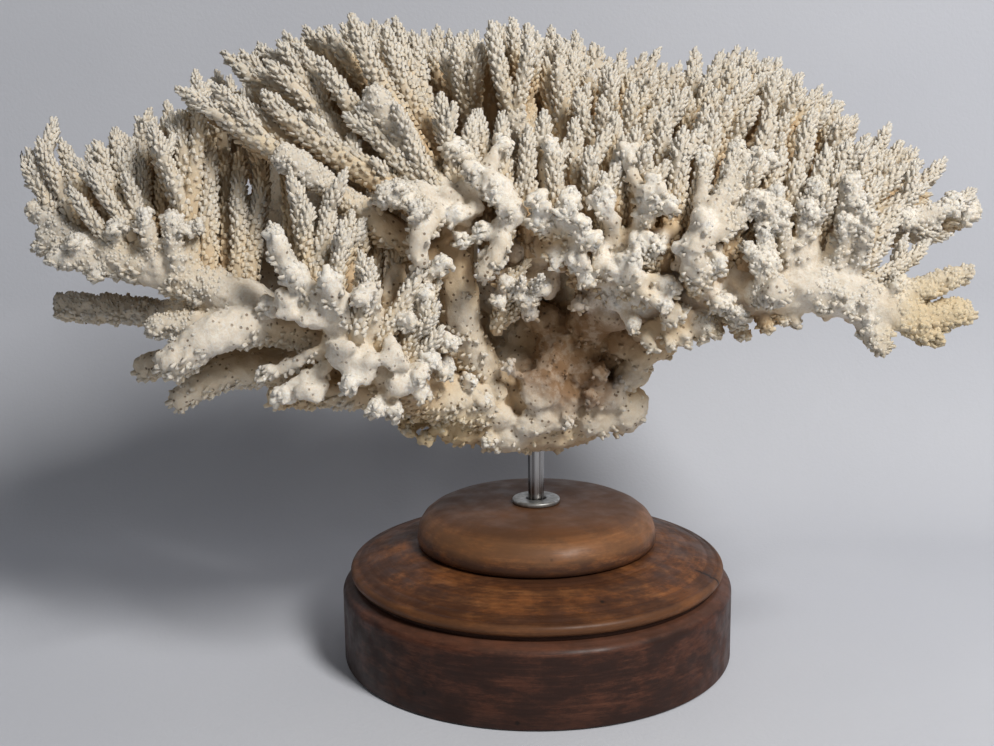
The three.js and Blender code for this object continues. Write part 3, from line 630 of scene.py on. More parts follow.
# The limbs, from the foot outwards. A point of a branch or stub is (x, y, z, radius). Branches bear
# sprigs. Stubs are what is left of broken ones. Lobes are smooth swellings, and knobs are the small
# warty heads, (x, y, z, radius), that stand on short necks before the field. Some broke lately, and
# are the whitest.
LIMBS = {
    "coral_stub_low": {
        "stubs": [[(-30, -14, 138, 12), (-98, -28, 158, 9), (-150, -24, 175, 7), (-229, -15, 182, 6.5)]],
    },
    "coral_limb_low": {
        "stubs": [
            [(-30, -28, 134, 12), (-76, -42, 146, 10), (-110, -44, 158, 8.5)],
            [(-100, -44, 154, 8), (-141, -50, 155, 7), (-164, -56, 145, 5.5)],
            [(-104, -42, 156, 7), (-150, -36, 160, 6.5), (-186, -32, 155, 6)],
            [(-70, -42, 144, 8), (-98, -60, 148, 6.5), (-118, -66, 148, 5)],
        ],
    },
    "coral_limb_rising": {
        "branches": [
            [
                (-22, -24, 142, 12), (-33, -42, 172, 9.5), (-36, -48, 202, 9),
                (-38, -46, 230, 10), (-60, -26, 248, 7),
            ],
            [(-42, -44, 234, 7), (-78, -34, 254, 5), (-112, -26, 270, 3.5)],
            [(-56, -30, 246, 7), (-82, -6, 257, 5.5), (-110, 10, 266, 4.5)],
        ],
        "stubs": [
            [(-40, -48, 236, 8), (-56, -50, 256, 7), (-70, -50, 279, 6.5)],
            [(-40, -52, 236, 8), (-64, -74, 239, 5)],
            [(-40, -54, 234, 8), (-50, -74, 221, 5.5), (-49, -77, 209, 4)],
            [(-34, -50, 238, 8), (-18, -60, 242, 6), (-8, -66, 228, 5)],
            [(-12, -62, 228, 5), (-16, -68, 214, 4.5), (-22, -70, 203, 4)],
        ],
        "lobes": [(-42, -56, 238, 10, 8, 7), (-31, -58, 230, 8, 7, 8)],
        "knobs": [
            (-26, -64, 246, 7), (-18, -66, 239, 8), (-12, -66, 230, 7), (-35, -66, 229, 5.5),
            (-32, -64, 217, 5.5), (-24, -64, 221, 6), (-15, -64, 219, 5.5), (-20, -60, 210, 5.5),
            (-34, -54, 256, 7), (-14, -48, 258, 7), (-58, -72, 240, 6), (-50, -76, 232, 6),
            (-66, -66, 236, 6),
        ],
        "hub": (-28, -45, 192),
        "bears": (-150, -44, 12),
        "sprigs": [
            ((-42, -58, 238), (-62, -56, 276), 3.8), ((-35, -54, 244), (-41, -50, 280), 3.8),
            ((-28, -54, 238), (-28, -50, 269), 3.8), ((-46, -58, 236), (-77, -52, 274), 4.2),
            ((-48, -56, 234), (-104, -50, 272), 4.4), ((-54, -58, 233), (-120, -50, 282), 4.8),
            ((-42, -52, 240), (-82, -30, 314), 4.4), ((-44, -52, 238), (-97, -36, 296), 4.4),
            ((-38, -48, 244), (-68, -24, 310), 4.2),
        ],
    },
    "coral_limb_centre": {
        "branches": [
            [(6, -2, 162, 14), (6, -6, 196, 12), (0, -8, 232, 9)], [(6, -4, 188, 9), (34, -10, 228, 7)],
            [(6, -4, 186, 9), (24, 28, 226, 7)], [(6, -4, 184, 9), (-26, 26, 222, 7)],
        ],
        "stubs": [
            [(6, -10, 186, 9), (-2, -38, 204, 8), (14, -60, 222, 5.5)],
            [(0, -34, 202, 6), (-14, -50, 198, 4.5)],
            [(4, -30, 196, 7), (8, -44, 230, 5.5), (7, -46, 250, 4.5)],
        ],
        "lobes": [
            (14, -48, 208, 10, 8, 9), (-5, -44, 211, 9, 8, 9), (6, -46, 197, 8, 7, 9),
            (24, -50, 206, 9, 7, 9),
        ],
        "knobs": [
            (2, -68, 233, 6.5), (1, -66, 225, 6), (16, -66, 237, 5.5), (14, -70, 230, 7.5),
            (21, -68, 224, 6), (25, -68, 217, 6.5), (19, -64, 207, 7), (24, -62, 200, 6), (11, -60, 207, 6),
            (-13, -56, 198, 5), (-8, -54, 193, 5), (-17, -55, 189, 5), (-2, -52, 189, 6), (3, -54, 195, 5),
            (-2, -50, 182, 5), (7, -49, 257, 6.5),
        ],
        "sprigs": [
            ((-13, -48, 216), (-14, -48, 271), 4.2), ((-2, -50, 212), (-3, -50, 265), 4.0),
            ((-17, -44, 176), (-11, -56, 202), 3.4), ((-12, -46, 180), (0, -54, 196), 3.0),
            ((-20, -44, 200), (-24, -44, 272), 4.0), ((4, -40, 206), (4, -38, 272), 4.0),
        ],
    },
    "coral_limb_front_left": {
        "branches": [[(-26, -32, 136, 13), (-56, -56, 150, 12), (-78, -74, 172, 10), (-92, -80, 194, 7)]],
        "stubs": [
            [(-90, -82, 190, 6), (-104, -85, 206, 5), (-110, -86, 218, 4)],
            [(-84, -80, 184, 7), (-88, -90, 202, 5.5)], [(-74, -74, 176, 7), (-71, -84, 200, 4.5)],
            [(-64, -66, 160, 7), (-54, -70, 178, 5), (-50, -70, 190, 4)],
            [(-70, -68, 166, 7), (-66, -62, 188, 5), (-62, -58, 204, 4)],
            [(-78, -74, 176, 7), (-82, -66, 196, 5), (-83, -62, 212, 4)],
            [(-88, -80, 186, 6), (-98, -72, 202, 5), (-102, -68, 220, 4)],
        ],
        "lobes": [
            (-107, -84, 192, 7, 6, 7), (-96, -86, 187, 7, 6, 7), (-84, -86, 172, 9, 7, 7),
            (-74, -86, 165, 8, 7, 7), (-62, -84, 169, 7, 6, 8), (-60, -80, 156, 8, 6, 7),
            (-98, -80, 153, 8, 6, 6),
        ],
        "knobs": [
            (-112, -78, 151, 6), (-80, -90, 158, 7), (-52, -80, 158, 7), (-46, -76, 166, 6),
            (-70, -84, 146, 6), (-62, -80, 143, 6), (-50, -72, 150, 6), (-40, -66, 160, 6),
            (-38, -68, 172, 6), (-111, -86, 223, 6), (-104, -86, 206, 6), (-56, -78, 184, 6),
            (-48, -74, 196, 5.5), (-41, -70, 208, 5.5), (-88, -92, 205, 6), (-74, -88, 196, 6),
            (-120, -74, 160, 5),
        ],
        "sprigs": [
            ((-104, -66, 205), (-113, -46, 259), 3.2), ((-97, -76, 205), (-105, -66, 248), 4.2),
            ((-95, -78, 200), (-89, -70, 240), 3.8), ((-98, -84, 195), (-112, -86, 227), 3.8),
            ((-88, -72, 198), (-80, -68, 230), 3.4), ((-82, -66, 190), (-76, -60, 229), 3.4),
            ((-72, -56, 196), (-71, -50, 225), 3.4), ((-64, -60, 190), (-62, -54, 219), 3.4),
            ((-68, -76, 174), (-49, -74, 209), 4.3), ((-77, -84, 180), (-70, -84, 211), 3.8),
            ((-57, -70, 172), (-43, -68, 200), 3.4), ((-61, -72, 166), (-43, -76, 190), 3.4),
            ((-59, -72, 160), (-41, -78, 180), 3.4), ((-86, -80, 195), (-83, -82, 224), 2.9),
        ],
    },
    "coral_limb_front_right": {
        "branches": [[(18, -14, 158, 13), (30, -38, 184, 12), (38, -46, 208, 9)]],
        "stubs": [
            [(28, -36, 186, 7), (16, -56, 212, 5), (12, -64, 230, 4)],
            [(36, -46, 200, 6), (34, -64, 226, 4)], [(38, -48, 204, 6), (50, -64, 230, 4)],
            [(32, -40, 184, 7), (29, -62, 206, 4.5)], [(36, -44, 190, 7), (42, -66, 199, 4.5)],
            [(40, -50, 204, 6), (62, -60, 222, 4)],
        ],
        "lobes": [
            (34, -42, 180, 11, 10, 11), (38, -50, 203, 10, 8, 10), (50, -46, 186, 11, 10, 11),
            (56, -50, 200, 9, 8, 9),
        ],
        "knobs": [
            (30, -66, 235, 7.5), (52, -68, 235, 8), (59, -69, 233, 5), (48, -62, 228, 6), (52, -66, 242, 5),
            (41, -56, 254, 6), (29, -58, 209, 8), (38, -62, 205, 8), (53, -66, 215, 7), (44, -68, 208, 7),
            (46, -66, 216, 6), (60, -66, 196, 6), (58, -68, 188, 5), (35, -54, 190, 8), (48, -58, 189, 7),
            (66, -60, 184, 5), (44, -60, 178, 5), (22, -50, 186, 6),
        ],
        "sprigs": [
            ((11, -52, 206), (8, -50, 260), 4.0), ((25, -54, 208), (25, -54, 256), 4.0),
            ((34, -54, 206), (39, -54, 260), 4.4), ((29, -58, 214), (31, -62, 245), 3.4),
            ((44, -52, 206), (45, -54, 264), 4.2), ((55, -48, 180), (52, -62, 209), 3.4),
            ((47, -52, 186), (44, -66, 217), 3.8), ((52, -46, 206), (58, -42, 272), 4.2),
            ((20, -44, 206), (18, -42, 268), 4.0), ((36, -44, 206), (36, -40, 270), 4.2),
        ],
    },
    "coral_limb_right_front": {
        "branches": [
            [
                (30, -12, 154, 14), (60, -34, 180, 13), (90, -50, 191, 12),
                (122, -60, 194, 12), (158, -65, 186, 9),
            ],
        ],
        "stubs": [
            [(140, -64, 190, 8), (168, -64, 181, 7), (190, -62, 184, 5.5)],
            [(148, -64, 188, 7), (172, -62, 194, 5), (192, -60, 202, 3.5)],
            [(158, -65, 184, 7), (176, -67, 173, 4.5)], [(144, -64, 186, 8), (152, -70, 171, 5)],
            [(96, -52, 192, 8), (104, -80, 196, 6)],
            [(78, -46, 190, 8), (70, -72, 204, 6), (68, -76, 215, 5)],
            [(66, -40, 182, 7), (60, -66, 184, 5)],
        ],
        "lobes": [
            (84, -54, 198, 12, 9, 10), (100, -58, 196, 12, 9, 10), (118, -58, 194, 12, 9, 10),
            (136, -58, 192, 11, 9, 10), (152, -62, 184, 10, 8, 9), (96, -54, 212, 10, 8, 10),
            (120, -54, 211, 10, 8, 9), (70, -62, 206, 10, 7, 6), (76, -66, 211, 7, 6, 5),
            (68, -44, 186, 12, 11, 11), (60, -38, 178, 12, 11, 11),
        ],
        "knobs": [
            (75, -52, 253, 6), (90, -54, 255, 6), (97, -57, 252, 5.5), (103, -57, 251, 5),
            (73, -74, 226, 6), (66, -72, 213, 7), (80, -72, 207, 6), (100, -70, 208, 7), (94, -70, 212, 5),
            (100, -70, 192, 8), (105, -66, 238, 5), (107, -68, 229, 6), (96, -66, 233, 8),
            (100, -68, 222, 7), (122, -64, 239, 6), (119, -64, 228, 8), (137, -66, 240, 6),
            (141, -68, 233, 6), (145, -70, 226, 5), (135, -68, 225, 6), (83, -64, 189, 8),
            (90, -68, 184, 5), (148, -68, 182, 8), (138, -66, 187, 7), (159, -66, 197, 7),
            (126, -64, 196, 6), (76, -60, 180, 5),
        ],
        "sprigs": [
            ((137, -62, 194), (163, -62, 206), 3.4), ((152, -64, 190), (175, -62, 199), 3.1),
            ((139, -62, 200), (157, -60, 216), 3.6), ((148, -62, 196), (173, -56, 212), 3.1),
            ((47, -54, 208), (51, -56, 251), 4.2), ((58, -56, 206), (66, -54, 264), 4.4),
            ((67, -58, 205), (76, -56, 251), 4.4), ((75, -60, 202), (88, -58, 255), 4.6),
            ((82, -60, 204), (95, -60, 251), 4.4), ((93, -58, 206), (109, -54, 255), 4.4),
            ((104, -58, 206), (117, -58, 249), 4.0), ((115, -58, 208), (129, -54, 255), 4.0),
            ((122, -58, 208), (135, -58, 248), 3.8), ((70, -48, 206), (80, -44, 270), 4.4),
            ((90, -48, 206), (106, -42, 272), 4.4), ((108, -46, 208), (124, -42, 266), 4.2),
        ],
    },
    "coral_limb_left_front": {
        "branches": [
            [
                (-50, -44, 158, 9), (-108, -56, 178, 11), (-150, -58, 198, 10),
                (-190, -56, 211, 9), (-222, -50, 219, 6),
            ],
        ],
        "stubs": [
            [(-112, -58, 180, 9.5), (-138, -78, 180, 9), (-160, -85, 167, 7.5)],
            [(-132, -58, 182, 7), (-171, -63, 180, 5.5)], [(-200, -56, 214, 6), (-228, -48, 232, 4)],
            [(-190, -58, 208, 6), (-216, -60, 211, 4)],
            [(-158, -62, 202, 5.5), (-160, -66, 218, 4.5), (-160, -66, 228, 4.2)],
            [(-168, -62, 206, 5), (-172, -66, 226, 3.6)],
        ],
        "lobes": [(-130, -62, 188, 10, 8, 10), (-166, -58, 205, 10, 7, 7), (-140, -80, 179, 9, 7, 8)],
        "knobs": [
            (-160, -64, 228, 6), (-150, -66, 224, 5), (-172, -66, 230, 5), (-186, -64, 224, 6),
            (-204, -62, 218, 6), (-212, -60, 210, 6), (-196, -62, 204, 5), (-222, -52, 214, 6),
            (-118, -74, 190, 6),
        ],
        "sprigs": [
            ((-207, -50, 225), (-223, -46, 262), 4.0), ((-215, -50, 221), (-229, -44, 257), 3.6),
            ((-201, -48, 228), (-215, -40, 261), 3.6), ((-187, -54, 223), (-196, -48, 261), 4.0),
            ((-180, -56, 226), (-190, -40, 266), 3.6), ((-181, -60, 222), (-195, -62, 249), 3.1),
            ((-189, -60, 217), (-205, -62, 241), 3.1), ((-173, -54, 219), (-179, -40, 269), 3.6),
            ((-165, -54, 215), (-169, -42, 264), 4.0), ((-158, -52, 207), (-159, -40, 257), 3.6),
            ((-147, -58, 202), (-145, -52, 262), 4.0), ((-140, -50, 201), (-141, -38, 256), 3.6),
            ((-134, -56, 200), (-132, -46, 257), 3.6), ((-129, -54, 197), (-122, -46, 257), 3.6),
        ],
    },
    "coral_limb_left": {
        "branches": [
            [(-26, 2, 144, 13), (-90, 0, 172, 12), (-145, 0, 196, 11), (-190, 2, 212, 9), (-222, 2, 224, 7)],
            [(-140, 0, 194, 9), (-180, 28, 210, 8), (-214, 40, 226, 6)],
        ],
    },
    "coral_limb_right": {
        "branches": [
            [(30, 0, 154, 13), (80, -2, 186, 12), (122, -6, 204, 11), (160, -12, 214, 9), (198, -20, 222, 6)],
            [(122, -6, 204, 9), (160, 16, 216, 8), (194, 26, 222, 6)],
        ],
        "stubs": [[(176, -18, 218, 7), (203, -26, 226, 5.5)], [(150, -14, 212, 7), (170, -42, 222, 5.5)]],
        "lobes": [(142, -24, 214, 8, 8, 8)],
        "knobs": [(188, -42, 230, 7), (180, -40, 222, 6), (166, -44, 224, 7), (198, -30, 224, 6)],
        "sprigs": [
            ((159, -32, 221), (187, -28, 248), 3.6), ((166, -38, 222), (199, -36, 232), 4.0),
            ((157, -38, 219), (189, -38, 215), 3.1), ((155, -24, 224), (178, -16, 251), 3.6),
            ((153, -14, 226), (174, -4, 255), 3.6), ((146, -24, 226), (165, -12, 263), 3.6),
            ((161, -34, 220), (197, -30, 224), 3.6), ((137, -38, 224), (151, -44, 254), 3.6),
            ((142, -40, 222), (166, -42, 246), 3.6), ((148, -40, 222), (175, -44, 238), 3.6),
            ((133, -40, 226), (141, -42, 258), 3.6),
        ],
    },
    "coral_limb_left_back": {
        "branches": [[(-24, 14, 144, 13), (-80, 42, 172, 12), (-130, 62, 200, 11), (-184, 76, 222, 7)]],
    },
    "coral_limb_right_back": {
        "branches": [[(28, 12, 150, 13), (78, 38, 184, 12), (122, 54, 206, 10), (166, 66, 224, 7)]],
    },
    "coral_limb_back_left": {
        "branches": [
            [(-12, 20, 146, 12), (-44, 66, 180, 11), (-66, 106, 212, 7)],
            [(-44, 66, 180, 9), (-86, 88, 202, 8), (-120, 104, 220, 6)],
        ],
    },
    "coral_limb_back": {
        "branches": [
            [(2, 22, 148, 12), (-2, 72, 184, 11), (-14, 112, 216, 7)],
            [(-2, 66, 180, 8), (22, 96, 204, 7), (32, 116, 220, 6)],
        ],
    },
    "coral_limb_back_right": {
        "branches": [
            [(18, 20, 148, 12), (46, 60, 182, 11), (70, 98, 212, 7)],
            [(46, 60, 182, 8), (86, 78, 204, 7), (116, 98, 220, 6)],
        ],
    },
}
# The fringe of short stubs under the right wing, each at this x and z.
FRINGE = [(49, 177), (57, 180), (64, 180), (71, 183), (78, 184), (89, 183), (100, 187), (107, 190)]
FRINGE += [(113, 189), (126, 191), (144, 186), (151, 181), (137, 190)]
for x, z in FRINGE:
    LIMBS["coral_limb_right_front"]["stubs"].append([(x, -54, z, 5), (x + 4, -61, z - 10, 2.4)])
FRONT_LIMBS = ("coral_limb_front_left", "coral_limb_front_right", "coral_limb_rising")
FRONT_LIMBS += ("coral_limb_left_front", "coral_limb_right_front", "coral_limb_low")
FRONT_LIMBS += ("coral_stub_low", "coral_limb_centre")


def curved(points, pitch):
    # Places a pitch apart on the smooth curve through the points, each still (x, y, z, radius).
    p = np.array(points, float)
    ends = np.vstack([2 * p[0] - p[1], p, 2 * p[-1] - p[-2]])
    places = []
    for a, b, c, d in zip(ends, ends[1:], ends[2:], ends[3:]):
        before, here, after = (math.sqrt(np.linalg.norm((q - r)[:3])) for q, r in ((b, a), (c, b), (d, c)))
        out = ((b - a) / before - (c - a) / (before + here) + (c - b) / here) * here
        back = ((c - b) / here - (d - b) / (here + after) + (d - c) / after) * here
        t = np.linspace(0, 1, max(2, round(here * here / pitch)), endpoint=False)[:, None]
        place = b + out * t + (3 * (c - b) - 2 * out - back) * t**2 + (2 * (b - c) + out + back) * t**3
        place[:, 3:] = b[3] + (c[3] - b[3]) * t
        places.append(place)
    return np.vstack(places + [p[-1:]])


def leans_at(limb, tips):
    # The travel in x and y for each unit of rise of a sprig of this limb with each of the tips.
    if "hub" not in limb:
        return np.stack([along(LEAN, tips[:, 0]), LEAN_FOR_DEPTH * (tips[:, 1] - FIELD_MIDDLE[1])], 1)
    left, right, back = limb["bears"]
    lean = (tips[:, :2] - limb["hub"][:2]) / (tips[:, 2:] - limb["hub"][2])
    lean[(tips[:, 0] < left) | (tips[:, 0] > right) | (tips[:, 1] > back)] = 1e6
    return lean


def grow_trunks():
    # Each trunk grows from the place on a branch that needs the least bend, and bears the twigs whose
    # tips are nearest to its own.
    tips = grid_tips(TRUNK_PITCH, TRUNK_UNEVENNESS)
    best_cost = np.full(len(tips), np.inf)
    best = [None] * len(tips)
    for name, limb in LIMBS.items():
        lean = leans_at(limb, tips)
        for branch in limb.get("branches", []):
            places = curved(branch, 4.0)[:, :3]
            places = places[len(places) // 5 :]
            rise = tips[:, None, 2] - places[None, :, 2]
            stray = tips[:, None, :2] - places[None, :, :2] - lean[:, None] * rise[..., None]
            aside = np.hypot(stray[..., 0], stray[..., 1])
            cost = aside + 0.3 * rise
            cost[(rise < SHORTEST_TRUNK) | (rise > LONGEST_TRUNK) | (aside > 6 + 0.42 * rise)] = np.inf
            nearest = cost.argmin(1)
            for index in np.flatnonzero(cost.min(1) < best_cost):
                best_cost[index] = cost[index, nearest[index]]
                best[index] = (name, places[nearest[index]], lean[index])
    grown = {name: [] for name in LIMBS}
    twigs = grid_tips(TWIG_PITCH, 0)
    owner = np.linalg.norm(twigs[:, None, :2] - tips[None, :, :2], axis=2)
    for index in np.flatnonzero(np.isfinite(best_cost)):
        name, root, lean = best[index]
        mine = twigs[(owner.argmin(1) == index) & (owner.min(1) < 19)]
        mine[:, 2] += tips[index, 2] - crown(tips[index, 0], tips[index, 1]) + rng.uniform(-7, 4, len(mine))
        grown[name].append((root, tips[index], lean, mine))
    return grown


TRUNKS = grow_trunks()


# The twigs: slim, slightly bent fingers of lime, set all round with small tubular cups that point up and
# out in a spiral, long and bristly near the tip and shorter below. Some bear a side twig.
CORE_SIDES = 5
CORE_RADII = ((0, 1.2), (2, 2.1), (8, 2.8), (20, 3.3), (45, 3.9))
CUP_LENGTHS = ((0, 2.5), (8, 2.7), (25, 2.4), (45, 2.0))
CUPS_FOR_EACH_MM = 2.5
THICK_CUPS_REACH = 28
FRONT_CUPS_REACH = 70
FRONT_CUPS_SHARE = 1.15
SPRIG_RADIUS = 3.6
GOLDEN_ANGLE = math.pi * (3 - math.sqrt(5))


def modelled_cup():
    # A three-sided tube, 1 long, narrowing upwards, whose open foot hides in what it stands on.
    deselect()
    bpy.ops.mesh.primitive_cone_add(vertices=3, radius1=1.2, radius2=0.74, depth=1, location=(0, 0, 0.5))
    cup = bpy.context.object
    bpy.ops.object.transform_apply(location=True)
    bpy.ops.object.mode_set(mode="EDIT")
    bpy.ops.mesh.select_all(action="DESELECT")
    bpy.ops.mesh.select_mode(type="FACE")
    bpy.ops.object.mode_set(mode="OBJECT")
    for face in cup.data.polygons:
        face.select = face.normal.z < -0.9
    bpy.ops.object.mode_set(mode="EDIT")
    bpy.ops.mesh.delete(type="ONLY_FACE")
    bpy.ops.mesh.select_all(action="SELECT")
    bpy.ops.mesh.quads_convert_to_tris()
    bpy.ops.object.mode_set(mode="OBJECT")
    corners = np.array([v.co for v in cup.data.vertices])
    faces = np.array([list(f.vertices) for f in cup.data.polygons])
    bpy.data.objects.remove(cup)
    return corners, faces


CUP = modelled_cup()


class Growth:
    # Gathers the corners and triangles of many small shapes, with each corner's two colour values.
    def __init__(self):
        self.corners, self.faces, self.inner, self.broken = [], [], [], []
        self.count = 0

    def add(self, corners, faces, inner=0.0, broken=0.0):
        self.corners.append(corners)
        self.faces.append(faces + self.count)
        self.inner.append(np.broadcast_to(inner, len(corners)))
        self.broken.append(np.broadcast_to(broken, len(corners)))
        self.count += len(corners)

    def add_cups(self, places, heading, lengths, widths, inner, broken):
        shape, faces = CUP
        side = unit(np.cross(heading, rng.normal(size=heading.shape)))
        wide = widths[:, None]
        frames = np.stack([side * wide, np.cross(heading, side) * wide, heading * lengths[:, None]], 1)
        corners = places[:, None, :] + np.einsum("ka,nab->nkb", shape, frames)
        every = (faces[None] + len(shape) * np.arange(len(places))[:, None, None]).reshape(-1, 3)
        # Each cup is painted darker at its foot, where it meets what it stands on, and lighter at its tip:
        # painted shade.
        shade = inner[:, None] + 0.17 - 0.22 * shape[None, :, 2]
        bright = np.broadcast_to(broken[:, None], shade.shape)
        self.add(corners.reshape(-1, 3), every, shade.ravel(), bright.ravel())


def add_twig(growth, path, size, dark, share=1.0, reach=THICK_CUPS_REACH):
    # path runs from root to tip. The cups are thick near the tip and half as thick below.
    step = np.linalg.norm(np.diff(path, axis=0), axis=1)
    from_tip = np.append(np.cumsum(step[::-1])[::-1], 0)
    ahead = unit(np.gradient(path, axis=0))
    side = unit(np.cross(ahead, np.array((0.0, 1.0, 0.02))))
    front = np.cross(side, ahead)
    turn = np.arange(CORE_SIDES) * 2 * math.pi / CORE_SIDES
    ring = np.cos(turn)[None, :, None] * side[:, None] - np.sin(turn)[None, :, None] * front[:, None]
    radius = along(CORE_RADII, from_tip) * size
    corners = (path[:, None] + ring * radius[:, None, None]).reshape(-1, 3)
    rows, sides = len(path), CORE_SIDES
    low = (np.arange(rows - 1)[:, None] * sides + np.arange(sides)).ravel()
    low_next = (np.arange(rows - 1)[:, None] * sides + (np.arange(sides) + 1) % sides).ravel()
    faces = [np.stack([low, low_next, low_next + sides], 1)]
    faces.append(np.stack([low, low_next + sides, low + sides], 1))
    last = (rows - 1) * sides + np.arange(sides)
    foot, tip = rows * sides, rows * sides + 1
    around = np.arange(sides)
    faces.append(np.stack([last, np.roll(last, -1), np.full(sides, tip)], 1))
    faces.append(np.stack([np.roll(around, -1), around, np.full(sides, foot)], 1))
    corners = np.vstack([corners, path[0], path[-1] + ahead[-1] * 1.2 * size])
    # The core between the cups is painted darker than the cups around it, as painted shade.
    core_dark = np.append(np.repeat(dark(from_tip), sides), [dark(from_tip[0]), dark(0)]) + 0.2
    growth.add(corners, np.vstack(faces), core_dark)
    thick = min(from_tip[0] - 2, reach)
    rate = CUPS_FOR_EACH_MM * share
    count = int(rate * (thick + 0.6 * (from_tip[0] - 2 - thick)))
    back = (np.arange(count) + 0.3) / rate
    back += np.maximum(back - thick, 0) * (1 / 0.6 - 1)
    angle = GOLDEN_ANGLE * np.arange(count) + rng.uniform(-0.25, 0.25, count) + rng.uniform(0, 6.28)
    kept = rng.random(count) > 0.05
    back, angle = back[kept], angle[kept]

    def read(values):
        return np.stack([np.interp(-back, -from_tip, values[:, k]) for k in range(3)], 1)

    here, axis = read(path), unit(read(ahead))
    out = np.cos(angle)[:, None] * unit(read(side)) + np.sin(angle)[:, None] * unit(read(front))
    close = smooth_step(back, 6.0, 0.0)[:, None]
    heading = unit(out * (0.50 - 0.28 * close) + axis + rng.normal(0, 0.13, (len(back), 3)))
    place = here + out * (along(CORE_RADII, back)[:, None] * size * (1 - 0.4 * close) - 0.4)
    lengths = along(CUP_LENGTHS, back) * rng.uniform(0.65, 1.2, len(back))
    wider_below = 1 + 0.25 * smooth_step(back, 20, 30)
    widths = rng.uniform(0.85, 1.15, len(back)) * (1 - 0.15 * close[:, 0]) * wider_below
    shade = dark(back) + rng.uniform(-0.05, 0.05, len(back))
    growth.add_cups(place, heading, lengths, widths, shade, np.zeros(len(back)))


# Twigs are painted darker further back from the tip, partly the tone of older lime and partly painted shade
# deep in the field.
def sprig_shade(back):
    return 0.04 + 0.36 * smooth_step(back, 6, 75)


def bent(root, leaving, tip, arriving):
    # A path from root to tip that leaves and arrives in the given directions, swaying a little.
    length = np.linalg.norm(tip - root)
    t = np.linspace(0, 1, max(5, int(length / 6)))[:, None]
    first, second = root + leaving * 0.36 * length, tip - arriving * 0.34 * length
    path = root * (1 - t) ** 3 + 3 * first * t * (1 - t) ** 2 + 3 * second * t**2 * (1 - t) + tip * t**3
    path[:, :2] += rng.uniform(-1.0, 1.0, 2) * np.sin(t * math.pi * rng.uniform(1.2, 2.4))
    return path


def trunk_path(root, tip, lean):
    arriving = unit(np.array((lean[0], lean[1], 1.0)))
    leaving = unit(unit(tip - root) * 0.9 + arriving * 0.3)
    return bent(root, leaving, tip, arriving)


def forked(growth, root, tip, lean, twig_tips):
    # The trunk as far as its fork, as (x, y, z, radius), after its twigs are added to the growth.
    path = trunk_path(root, tip, lean)
    step = np.linalg.norm(np.diff(path, axis=0), axis=1)
    from_tip = np.append(np.cumsum(step[::-1])[::-1], 0)
    fork = min(rng.uniform(36, 54), 0.66 * from_tip[0])
    seen = 0.68 + 0.32 * smooth_step(tip[1], 50, 10)
    for twig_tip in twig_tips:
        start_back = min(fork + rng.uniform(1, 13), 0.8 * from_tip[0])
        start = np.array([np.interp(-start_back, -from_tip, path[:, k]) for k in range(3)])
        ahead = unit(np.array([np.interp(3 - start_back, -from_tip, path[:, k]) for k in range(3)]) - start)
        away = twig_tip - start
        arriving = unit(0.55 * unit(away) + 0.6 * unit(np.array((lean[0], lean[1], 1.0))))
        twig = bent(start, unit(ahead + 0.5 * unit(away)), twig_tip, arriving)
        size = rng.uniform(0.88, 1.18)
        add_twig(growth, twig, size, sprig_shade, seen)
        if rng.random() < 0.24 and len(twig) > 5:
            middle = twig[-3 if rng.random() < 0.6 else -4]
            turn = rng.uniform(0, 2 * math.pi)
            heading = unit(unit(away) + 0.8 * np.array((math.cos(turn), math.sin(turn), 0)))
            share = np.linspace(0, 1, 5)[:, None]
            side_twig = middle + heading * rng.uniform(8, 13) * share + np.array((0, 0, 2.5)) * share**2
            add_twig(growth, side_twig, size * 0.85, sprig_shade, seen)
    kept = path[from_tip > fork]
    share = np.linspace(0, 1, len(kept))
    radius = 7.2 - 1.6 * share + 0.6 * np.sin(share * 9 + rng.uniform(0, 6))
    return np.hstack([kept, radius[:, None]])


def add_front_sprig(growth, root, tip, radius):
    # One of the sprigs of the front row, which mostly split in two or three towards the tip.
    root, tip = np.array(root, float), np.array(tip, float)
    rise = unit(tip - root)
    path = bent(root - rise * 4, rise, tip, unit(rise + (0, 0, 0.4)))
    add_twig(growth, path, radius / SPRIG_RADIUS, sprig_shade, FRONT_CUPS_SHARE, FRONT_CUPS_REACH)
    for start in rng.choice(len(path) - 3, rng.integers(0, 3), replace=False) + 2:
        turn = rng.uniform(0, 2 * math.pi)
        heading = unit(rise + 0.9 * np.array((math.cos(turn), math.sin(turn), 0.2)))
        share = np.linspace(0, 1, 5)[:, None]
        reach = rng.uniform(9, 15)
        side_twig = path[start] + heading * reach * share + rise * 4 * share**2
        add_twig(growth, side_twig, 0.85 * radius / SPRIG_RADIUS, sprig_shade)


# The limbs and the foot: stout branches that fuse where they meet. Each is swept along its curves, with
# its trunks, lobes, knobs and nodules, melted into one skin, then made uneven and set with low cups.
SKIN_FINE = 0.0013
SKIN_COARSE = 0.0020


def modelled_ball():
    deselect()
    bpy.ops.mesh.primitive_ico_sphere_add(subdivisions=2, radius=1)
    ball = bpy.context.object
    corners = np.array([v.co for v in ball.data.vertices])
    faces = np.array([list(f.vertices) for f in ball.data.polygons])
    bpy.data.objects.remove(ball)
    return corners, faces


BALL = modelled_ball()


def mesh_piece(name, growth):
    mesh = bpy.data.meshes.new(name)
    mesh.from_pydata(np.clip(np.vstack(growth.corners), LOWEST, HIGHEST) * MM, [], np.vstack(growth.faces))
    piece = bpy.data.objects.new(name, mesh)
    bpy.context.scene.collection.objects.link(piece)
    return piece


def of_balls(name, balls):
    growth = Growth()
    for x, y, z, *radii in balls:
        growth.add(BALL[0] * radii + (x, y, z), BALL[1])
    return mesh_piece(name, growth)


def joined(piece, other):
    choose(piece)
    other.select_set(True)
    bpy.ops.object.join()


